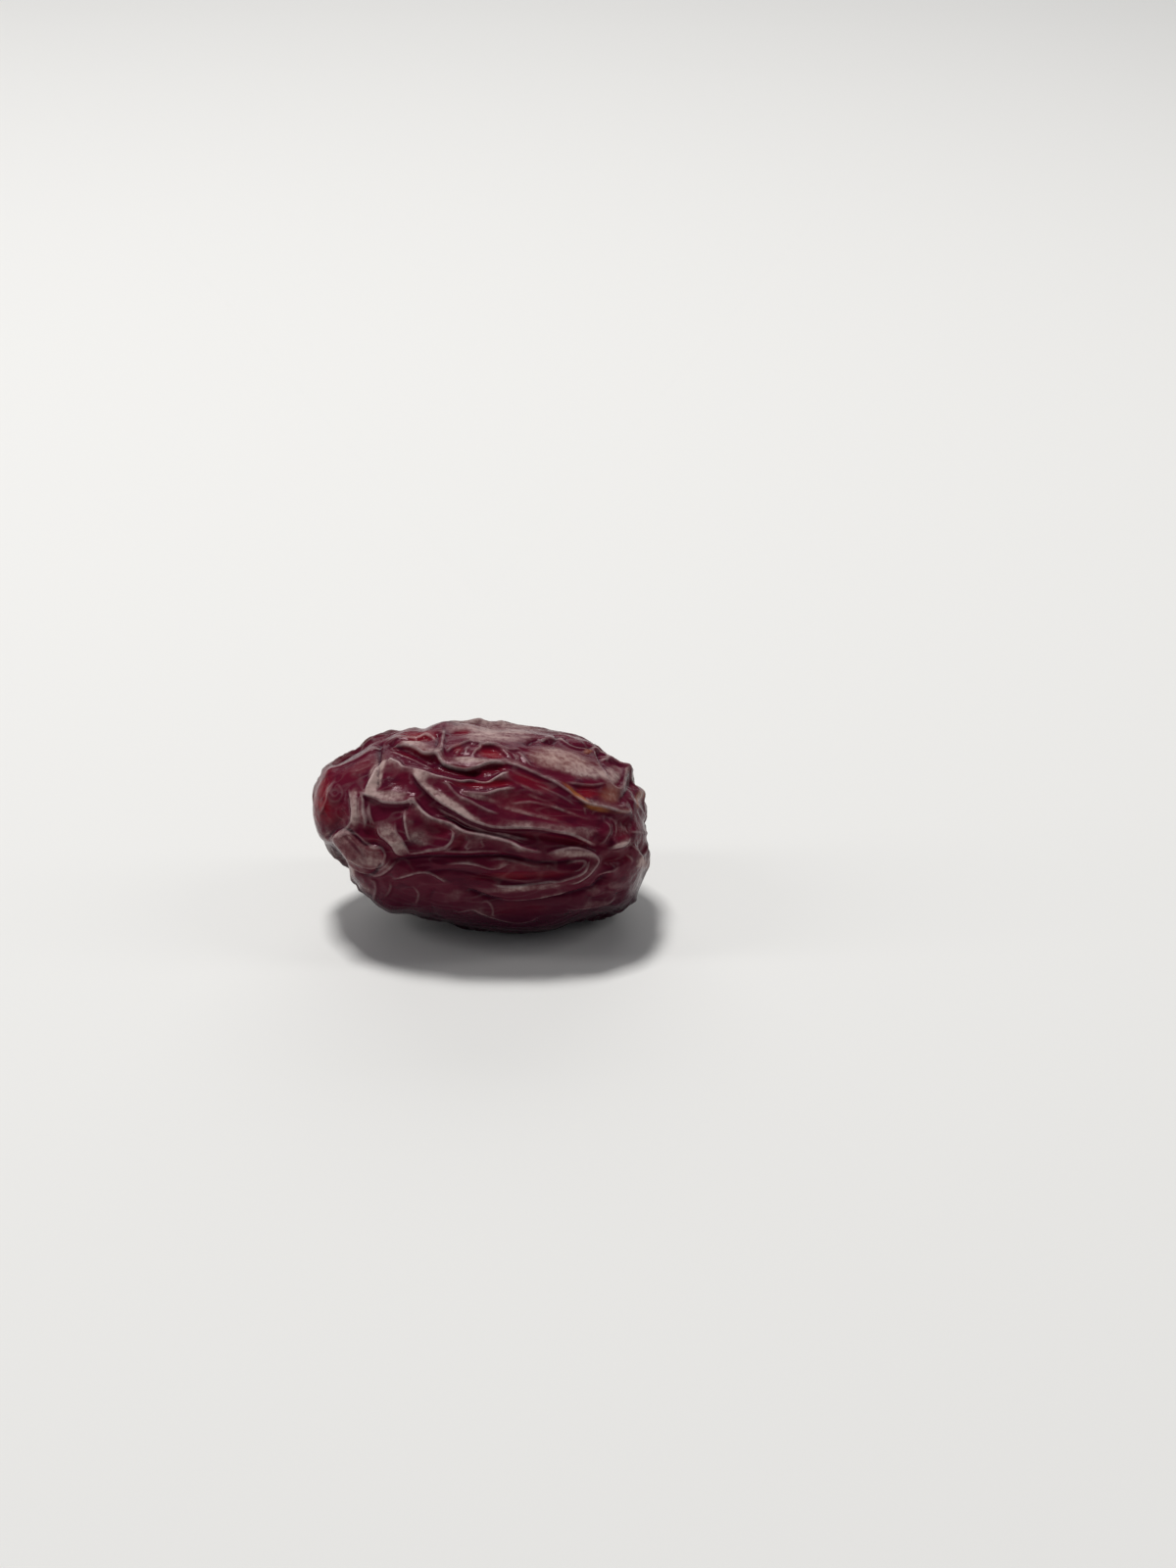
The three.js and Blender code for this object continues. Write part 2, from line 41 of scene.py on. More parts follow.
# The side that the folds are drawn on: seen from the front and above, on a grid centred on the fruit
VIEW_ELEVATION = math.radians(30)
VIEW_DISTANCE = 308
GRID = 1 / 7.5
AIM_LIMIT = 0.985
AIMING_PASSES = 10
VIEW_RIGHT = np.array([1.0, 0.0, 0.0])
VIEW_UP = np.array([0.0, math.sin(VIEW_ELEVATION), math.cos(VIEW_ELEVATION)])
VIEW_TOWARD = np.array([0.0, -math.cos(VIEW_ELEVATION), math.sin(VIEW_ELEVATION)])

# Mesh of the skin: cuts along each edge of a cube, and how its points crowd to the middle and the seen side
SKIN_CUTS = 126
MIDDLE_CROWDING = 0.8
SEEN_CROWDING = 0.38

# Folds, in millimetres: a crest is a little round, and a shallow moat runs along the foot of its steep side
CREST_ROUNDING = 0.12
THIN_RIDGE = 0.6
FOLD_FADE = 1.6
DROP_REACH = 0.36
MOAT_DEPTH = 0.75
MOAT_REACH = 0.9
REACH_LIMIT = 4.5
FOLD_SAMPLES = 3

# Painted sheen and painted shade on a fold: sheen thick on the gentle side of its crest, and painted shade
# under the steep side
SHEEN = 1.1
SHEEN_REACH = 0.7
SHADE_REACH = 0.9
SIDE_BLEND = 0.5

# Lines on the crests and creases: how far off they are told, in millimetres, and the mark of the lowest fold
LINE_REACH = 0.55
LEAST_MARK = 0.12

# Stem scar, at the blunt end, in millimetres, and the puckers that run in to it
SCAR_AIM = np.array([1, 0, 0.14]) / math.hypot(1, 0.14)
SCAR_RADIUS = 1.6
SCAR_DEPTH = 1.0
SCAR_RING = 1.25
SCAR_RAGGEDNESS = 0.3
STUB_RADIUS = 0.85
STUB_HEIGHT = 1.0
STUB_AMBER = 0.6
PUCKERS = 11
PUCKER_STARTS = (0.1, 0.22)
PUCKER_LEAST_END = 0.34
PUCKER_END_RANGE = 0.34
PUCKER_JITTER = 0.6
PUCKER_BEND = 0.4
PUCKER_LEAST_HEIGHT = 0.35
PUCKER_HEIGHT_RANGE = 0.3
PUCKER_REACH = 1.1
PUCKER_MARK = 0.5
PUCKER_SAMPLES = 4

# The side that is not seen: long cells with ridges between them, in rings round the fruit
RINGS = 6
RING_SPACING = 7.2
RING_CELLS = 21
CELL_STRETCH = 3.2
CELL_SWAY = 1.2
CELL_STEP = 1.4
CELL_SOFTNESS = 2.0
CELL_JITTER_ALONG = 0.9
CELL_JITTER_ROUND = 0.7
CELL_BLOOM = -0.1
STEP_BLOOM = 0.7
RIDGE_HEIGHT = 1.0
RIDGE_REACH = 0.85
RIDGE_STRENGTH = 0.6
RIDGE_STRENGTH_RANGE = 0.4
RIDGE_BLOOM = 0.3
SEED = 7

# Shallow wrinkles over the whole skin: how close they lie along, across and up, and how high they are
WIDE_WRINKLES = (0.2, 0.7, 0.7)
WIDE_HEIGHT = 0.2
NARROW_WRINKLES = (0.6, 1.6, 1.6)
NARROW_SHIFT = (9, 0, 0)
NARROW_HEIGHT = 0.08
WRINKLE_LEVEL = 0.3
WRINKLE_STEEPNESS = 0.6
SEEN_WRINKLES = 0.5
FAR_WRINKLES = 3
# Painted highlight lines on the wrinkle crests: their strength on the seen side and on the far side
SEEN_WRINKLE_LINES = 0.1
FAR_WRINKLE_LINES = 0.3

# Where the sides meet, by how squarely the skin faces the view, from 1 to -1: lumps end and cells begin
LUMPS_END = -0.75
LUMPS_BLEND = 0.7
TINTS_END = -0.35
TINTS_BLEND = 0.5
CELLS_START = 0.12
CELLS_BLEND = 0.35

# Where the wrinkles of the far side die out, by how squarely the skin faces either end of the fruit
ENDS_START = 0.5
ENDS_BLEND = 0.45

# Skin colours: the flesh, clear and browned skin, the waxy bloom with painted sheen, the amber edges, painted
# shade in the hollows and creases with dark streaks, and painted highlights on the crests
MAROON = (0.092, 0.005, 0.019)
CLEAR_RED = (0.2, 0.003, 0.01)
BROWN = (0.05, 0.008, 0.008)
BLOOM_AND_SHEEN = (0.49, 0.35, 0.32)
AMBER = (0.45, 0.15, 0.03)
SHADE_AND_STREAK_DARK = (0.02, 0.0004, 0.01)
CREST_HIGHLIGHT = (0.56, 0.44, 0.42)
# How much painted shade falls under the crests, how far the amber covers, and how much painted crease shade
# takes off the bloom and sheen
UNDER_CREST_SHADE = 0.75
AMBER_COVER = 0.8
CREASE_SHADE_ON_BLOOM = 0.8

# Noise that breaks the colours up: scale to the metre, detail and stretch
PATCHY_NOISE = (260, 4)
FINE_NOISE = (1500, 5)
STREAK_NOISE = (700, 4, (0.35, 1, 1))

# Spans, each from a low and a high to what the two give. These are of the noise, by what it breaks up
CLEAR_PATCHES = (0.3, 0.7, 0.45, 1.1)
BROWN_PATCHES = (0.3, 0.7, 0.55, 0.95)
BLOOM_PATCHES = (0.3, 0.75, -0.32, 0.1)
BLOOM_GRAIN = (0.3, 0.7, 0.6, 1.2)
BLOOM_STREAKS = (0.3, 0.7, 0.55, 1.2)
DARK_STREAKS = (0.5, 0.72, 0.0, 0.45)
AMBER_PATCHES = (0.3, 0.65, 0.5, 1.0)
CREST_PATCHES = (0.35, 0.65, 0.4, 1.1)
CREST_GRAIN = (0.3, 0.7, 0.6, 1.0)

# Spans of the way off a crest or crease, and of the skin's relief, in millimetres: painted highlights on the
# crests, painted shade in the creases, under the crests and in the hollows
CREST_LINE = (0.05, 0.26, 0.85, 0.0)
CREASE_LINE = (0.05, 0.4, 1.0, 0.0)
WRINKLE_LINE = (0.03, 0.24, 0.8, 0.0)
UNDER_START = (0.12, 0.34, 0.0, 1.0)
UNDER_END = (0.4, 0.8, 1.0, 0.0)
SHADE_IN_HOLLOWS = (-0.7, 0.1, 0.6, 0.0)

# Spans of the height over the floor, in metres: painted shade at the foot, which darkens the skin and dims the
# bloom, sheen and crest highlights there
SHADE_AT_FOOT = (0.003, 0.014, 0.85, 0.0)
FOOT_SHADE_ON_BLOOM = (0.003, 0.012, 0.25, 1.0)
CREST_FOOT = (0.003, 0.013, 0.3, 1.0)

# Spans of the bloom with its painted sheen: how far it covers the flesh, and how rough it makes the skin
BLOOM_AND_SHEEN_COVER = (-0.04, 1.0, 0.0, 0.8)
BLOOM_ROUGHNESS = (0.0, 1.0, 0.22, 0.42)

# Gloss, and the grain's depth in metres and strength
SKIN_IOR = 1.19
SKIN_GLOSS_TINT = (1.0, 0.72, 0.78, 1)
STREAK_GRAIN = (0.00018, 0.7)
FINE_GRAIN = (0.00004, 0.6)

# Floor and room
FLOOR_HALF_SIZE = 3
FLOOR_COLOUR = (0.80, 0.79, 0.765)
FLOOR_ROUGHNESS = 0.9
FLOOR_GLOSS = 0.1
ROOM_COLOUR = (0.9, 0.93, 1.0)
ROOM_STRENGTH = 0.12

# Lamps, each aimed at the fruit: name, place and size in metres, power in watts
LAMPS = [
    ("key", (-0.2, 0.3, 1.2), (0.26, 0.2), 11.5),
    ("back_window", (0.0, 1.9, 1.1), (2.4, 0.9), 12.0),
    ("left_strip", (-0.7, -0.05, 0.4), (0.1, 0.5), 1.0),
    ("right_strip", (0.7, 0.0, 0.5), (0.1, 0.5), 0.8),
]
LAMP_AIM = (0, 0, 0.014)

# Camera: the photograph's frame, and where the fruit's middle stands in it
FRAME_WIDTH = 1200
FRAME_HEIGHT = 1600
FRUIT_ACROSS = 492
FRUIT_DOWN = 841
SENSOR = 36
LENS = VIEW_DISTANCE / GRID * SENSOR / FRAME_HEIGHT
NEAR_CLIP = 0.01

# Main folds on the side that is seen: name, side that drops steeply, height, reach, and route on the grid
SEEN_FOLDS = [
    ("shoulder", "below", 0.68, 1.3,
     [(-98, 86), (-86, 87), (-76, 86), (-68, 83), (-61, 79), (-54, 77), (-46, 76), (-42, 71), (-37, 66),
      (-28, 63), (-18, 61), (-10, 61), (0, 63), (12, 66), (22, 66), (33, 64)]),
    ("shoulder ridge", "below", 0.4, 0.9,
     [(20, 67), (33, 64), (45, 60), (55, 56), (66, 51), (77, 46), (87, 40), (95, 35), (103, 30)]),
    ("stem lip", "below", 0.48, 0.9,
     [(97, 34), (103, 30), (108, 26), (116, 22), (126, 20), (136, 18), (146, 15), (155, 14), (161, 18)]),
    ("trough", "", -0.6, 0.9, [(-92, 81), (-75, 77), (-60, 70), (-48, 65), (-30, 57), (-12, 53), (6, 51)]),
    ("brow", "above", 0.72, 1.2,
     [(-97, 75), (-93, 69), (-86, 66), (-82, 62), (-74, 60), (-64, 57), (-54, 54), (-43, 51), (-31, 49),
      (-20, 47), (-9, 48), (2, 46), (9, 46), (16, 49), (23, 53), (30, 57), (31, 61)]),
    ("long band", "below", 0.6, 1.3,
     [(-70, 57), (-65, 47), (-57, 38), (-46, 28), (-32, 19), (-20, 12), (-9, 6), (3, 2), (14, -1),
      (30, -2), (48, -2), (64, -3), (80, -6), (97, -9), (109, -14), (119, -19), (127, -21)]),
    ("band end", "below", 0.48, 0.9, [(125, -21), (131, -17), (134, -11), (137, -5), (135, 2), (129, 6)]),
    ("middle crest", "above", 0.64, 1.3,
     [(-80, 26), (-72, 27), (-66, 22), (-60, 15), (-50, 8), (-40, 5), (-30, 2), (-20, -4), (-12, -7),
      (0, -9), (12, -12), (22, -14), (35, -18), (45, -23), (60, -27), (70, -28)]),
    ("knee", "above", 0.44, 1.3, [(-118, 31), (-118, 36), (-111, 52), (-106, 63), (-100, 71)]),
    ("knee foot", "below", 0.5, 0.9,
     [(-128, 36), (-119, 32), (-112, 30), (-107, 28), (-101, 25), (-92, 24), (-80, 24), (-70, 26),
      (-62, 21)]),
    ("grey crease", "", -0.64, 0.4, [(-97, 84), (-97, 60), (-98, 45), (-98, 30)]),
    ("left upright", "above", 0.48, 0.9, [(-119, 38), (-121, 28), (-121, 15), (-119, 5), (-122, -4)]),
    ("upper rim", "below", 0.24, 1.0,
     [(-158, 54), (-150, 60), (-140, 65), (-125, 72), (-110, 79), (-97, 86)]),
    ("upper lip", "below", 0.44, 1.0, [(-100, 87), (-80, 92), (-66, 93), (-58, 96), (-51, 94), (-44, 88)]),
    ("cross fold", "above", 0.36, 0.7, [(-36, 99), (-38, 90), (-39, 80), (-38, 70)]),
    ("top facet edge", "below", 0.36, 0.9,
     [(-36, 73), (-29, 80), (-19, 84), (-10, 87), (-3, 86), (5, 83), (15, 83), (25, 80), (33, 78),
      (41, 79), (47, 76)]),
    ("top link", "both", 0.36, 0.7, [(39, 79), (44, 72), (50, 65), (57, 58)]),
    ("far crease", "", -0.48, 0.4,
     [(46, 77), (50, 83), (57, 85), (66, 83), (73, 83), (77, 88), (80, 88), (86, 82), (93, 78), (102, 76),
      (110, 75), (117, 73)]),
    ("far rim", "below", 0.36, 0.9, [(55, 89), (66, 90), (80, 91), (88, 87), (100, 81), (116, 79)]),
    ("small facet crease", "", -0.48, 0.5, [(116, 75), (118, 65), (121, 58), (123, 52)]),
    ("small facet loop", "above", 0.32, 0.7,
     [(118, 80), (122, 71), (127, 62), (132, 51), (137, 43), (145, 38), (150, 43), (149, 54), (144, 64),
      (134, 69), (125, 68)]),
    ("far stem edge", "below", 0.44, 1.0,
     [(114, 81), (123, 79), (132, 74), (141, 67), (149, 61), (156, 53), (162, 43), (165, 35)]),
    ("far facet foot", "below", 0.32, 0.9, [(88, 45), (100, 43), (112, 42), (122, 42), (132, 45)]),
    ("eye crest", "above", 0.4, 0.9,
     [(-23, 36), (-12, 34), (0, 33), (8, 33), (18, 36), (28, 38), (40, 40)]),
    ("eye nose", "above", 0.36, 0.9,
     [(-42, 46), (-33, 42), (-28, 36), (-20, 29), (-10, 25), (1, 19), (13, 14), (22, 12)]),
    ("pillow upper crease", "", -0.5, 0.45,
     [(-151, -14), (-144, -7), (-136, -3), (-126, -4), (-119, -10), (-110, -17), (-101, -18), (-94, -23),
      (-89, -31)]),
    ("pillow lower crease", "", -0.62, 0.45,
     [(-152, -18), (-150, -26), (-140, -30), (-130, -37), (-120, -44), (-110, -48), (-102, -46),
      (-95, -38), (-88, -33)]),
    ("pillow strap", "below", 0.4, 0.8,
     [(-153, -30), (-145, -34), (-135, -39), (-125, -46), (-113, -52), (-104, -51), (-95, -45),
      (-86, -36)]),
    ("tip cheek", "below", 0.36, 0.9,
     [(-137, 40), (-133, 30), (-131, 18), (-131, 8), (-136, 0), (-146, -7), (-153, -16)]),
    ("cheek strip", "below", 0.4, 0.9,
     [(-107, 4), (-105, -8), (-97, -14), (-90, -21), (-85, -29), (-78, -33)]),
    ("cheek strip edge", "above", 0.28, 0.8, [(-88, 6), (-86, -6), (-80, -14), (-75, -24), (-71, -32)]),
    ("cheek fold", "below", 0.44, 1.0, [(-78, 20), (-78, 8), (-76, -4), (-73, -14), (-69, -19)]),
    ("cheek foot", "both", 0.36, 0.8,
     [(-64, -26), (-48, -24), (-36, -22), (-29, -16), (-27, -8), (-29, 1)]),
    ("long crease", "", -0.52, 0.45,
     [(-88, -34), (-70, -32), (-50, -30), (-30, -30), (-10, -30), (10, -29), (30, -30), (45, -33),
      (60, -36), (80, -36), (97, -33)]),
    ("lower thread", "below", 0.36, 0.8,
     [(-36, -41), (-25, -39), (-12, -39), (0, -41), (10, -44), (18, -44), (25, -41), (35, -36)]),
    ("lower thread crease", "", -0.36, 0.6,
     [(-60, -47), (-45, -45), (-30, -44), (-15, -46), (0, -49), (15, -53), (35, -57), (60, -56),
      (80, -53)]),
    ("lens band", "both", 0.44, 1.0,
     [(12, -62), (25, -63), (40, -63), (55, -61), (70, -59), (85, -57), (98, -53), (108, -48), (113, -42),
      (111, -36)]),
    ("lens lower crease", "", -0.68, 0.5,
     [(-18, -60), (-5, -65), (8, -70), (20, -73), (35, -74), (52, -73), (70, -70), (88, -67), (102, -63),
      (114, -56), (122, -48), (127, -42)]),
    ("lens end", "above", 0.44, 0.9,
     [(68, -31), (82, -26), (97, -23), (110, -25), (120, -30), (125, -36), (122, -42), (114, -51),
      (103, -58), (92, -62)]),
    ("under crest", "below", 0.4, 1.0, [(18, -78), (32, -79), (48, -78), (64, -76), (80, -72), (96, -69)]),
    ("stem middle tuck", "below", 0.48, 0.9, [(133, -24), (142, -23), (150, -21), (156, -17), (161, -11)]),
    ("stem lower tuck", "both", 0.4, 0.8, [(121, -55), (130, -50), (139, -47), (149, -42)]),
    ("stem flap", "above", 0.44, 0.8, [(159, -19), (165, -26), (170, -33), (170, -41)]),
    ("chin crest", "above", 0.36, 0.8, [(-117, -55), (-109, -57), (-106, -63), (-107, -70), (-104, -77)]),
    ("belly line", "below", 0.36, 1.1, [(-92, -56), (-78, -52), (-62, -48), (-45, -52), (-34, -60)]),
    ("belly drop", "", -0.36, 0.9, [(-42, -60), (-49, -74), (-45, -88), (-36, -97)]),
    ("belly long", "below", 0.4, 1.2, [(-28, -90), (-8, -86), (3, -90), (20, -96), (44, -98), (66, -94)]),
    ("belly stem", "below", 0.4, 1.2, [(88, -87), (105, -86), (120, -85), (134, -81), (147, -74)]),
    ("belly stem crease", "", -0.4, 0.7, [(100, -70), (118, -73), (132, -71), (147, -65)]),
]

# Fine folds and wrinkles on the same side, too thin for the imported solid
FINE_FOLDS = [
    ("trough thread", "both", 0.2, 0.4, [(-95, 79), (-85, 75), (-72, 71), (-58, 64), (-45, 58)]),
    ("cross crease", "", -0.4, 0.3, [(-40, 91), (-42, 82), (-43, 73)]),
    ("cross thread", "", -0.24, 0.3, [(-36, 97), (-34, 88), (-33, 78)]),
    ("lobe strip", "both", 0.2, 0.4, [(-15, 71), (-13, 79), (-9, 84)]),
    ("left lobe", "below", 0.24, 0.5, [(-25, 70), (-22, 77), (-16, 82)]),
    ("right lobe", "below", 0.28, 0.6,
     [(-7, 69), (-5, 76), (2, 81), (12, 82), (21, 79), (30, 72), (36, 66)]),
    ("second link", "both", 0.2, 0.5, [(31, 77), (38, 69), (45, 64)]),
    ("lid", "both", 0.2, 0.4, [(11, 51), (17, 54), (24, 56), (30, 59)]),
    ("band thread", "both", 0.28, 0.45,
     [(-47, 21), (-36, 14), (-25, 9), (-13, 2), (0, -3), (12, -7), (26, -9), (42, -13), (54, -15)]),
    ("band thread crease", "", -0.24, 0.3, [(-40, 13), (-26, 5), (-14, -1), (2, -6), (20, -10), (38, -15)]),
    ("knob ring", "both", 0.08, 0.4,
     [(-148, 44), (-142, 40), (-139, 33), (-143, 26), (-150, 25), (-154, 30)]),
    ("tip line", "both", 0.14, 0.5, [(-147, 52), (-150, 38), (-156, 28), (-160, 18), (-165, 9)]),
    ("tip pits", "", -0.16, 0.35, [(-158, -6), (-148, 0), (-140, 6), (-134, 13)]),
    ("tip strap", "both", 0.16, 0.5, [(-127, 36), (-125, 24), (-126, 10), (-130, 0)]),
    ("pillow rim", "both", 0.2, 0.5,
     [(-146, -16), (-138, -8), (-127, -8), (-119, -14), (-110, -21), (-101, -23), (-96, -30), (-100, -40),
      (-108, -43), (-118, -40), (-129, -33), (-140, -26)]),
    ("pillow dent", "", -0.18, 0.6, [(-139, -5), (-128, -14), (-118, -25), (-112, -31)]),
    ("cheek edge", "both", 0.22, 0.4, [(-117, 27), (-114, 22), (-113, 12), (-110, 3), (-106, -1)]),
    ("chin bump edge", "both", 0.2, 0.4, [(-94, -55), (-91, -60), (-92, -66), (-97, -71)]),
    ("middle knob left", "both", 0.24, 0.4, [(-18, -28), (-13, -20), (-8, -13)]),
    ("middle knob right", "both", 0.2, 0.4, [(0, -10), (3, -18), (8, -25)]),
    ("crease thread", "both", 0.18, 0.35,
     [(-76, -30), (-55, -27), (-35, -26), (-15, -27), (5, -26), (25, -27)]),
    ("second crease", "", -0.24, 0.35, [(-85, -38), (-65, -36), (-45, -35), (-30, -35)]),
    ("third crease", "", -0.2, 0.35, [(-72, -43), (-55, -41), (-40, -40)]),
    ("lens inner arc", "both", 0.16, 0.4, [(88, -41), (101, -36), (109, -37), (104, -45), (92, -49)]),
    ("lens core", "both", 0.2, 0.5, [(5, -36), (22, -34), (40, -37), (55, -41), (70, -43)]),
    ("stem hook", "both", 0.24, 0.4, [(139, 19), (148, 20), (155, 25)]),
    ("stem hook crease", "", -0.28, 0.4, [(151, 45), (146, 34), (141, 26), (139, 19)]),
    ("stem sliver", "", -0.36, 0.4, [(150, 58), (158, 50), (162, 43)]),
    ("amber vee left", "both", 0.22, 0.4, [(111, 9), (109, 17), (106, 25)]),
    ("amber vee right", "both", 0.22, 0.4, [(116, 10), (119, 15), (125, 17)]),
    ("first stem arc", "both", 0.24, 0.45, [(133, 9), (141, 4), (143, -5), (140, -14)]),
    ("second stem arc", "both", 0.24, 0.45, [(146, 8), (149, 0), (147, -11)]),
    ("stem post", "both", 0.32, 0.45, [(153, 4), (154, -5), (158, -10)]),
    ("inner flap", "both", 0.32, 0.4, [(153, -29), (158, -34), (160, -40)]),
    ("flap crease", "", -0.32, 0.4, [(161, -12), (160, -22), (163, -32), (161, -40)]),
    ("patch divide", "", -0.28, 0.5, [(126, -56), (127, -64), (122, -72)]),
    ("belly wrinkle", "both", 0.14, 0.6, [(-2, -80), (8, -78), (14, -85), (12, -94)]),
    ("belly thread", "both", 0.1, 0.5, [(-70, -60), (-62, -70), (-66, -82)]),
    ("plain thread", "both", 0.13, 0.5, [(30, 22), (52, 25), (74, 20), (96, 12)]),
    ("plain line", "both", 0.11, 0.5, [(56, 44), (72, 36), (88, 28), (100, 20)]),
]

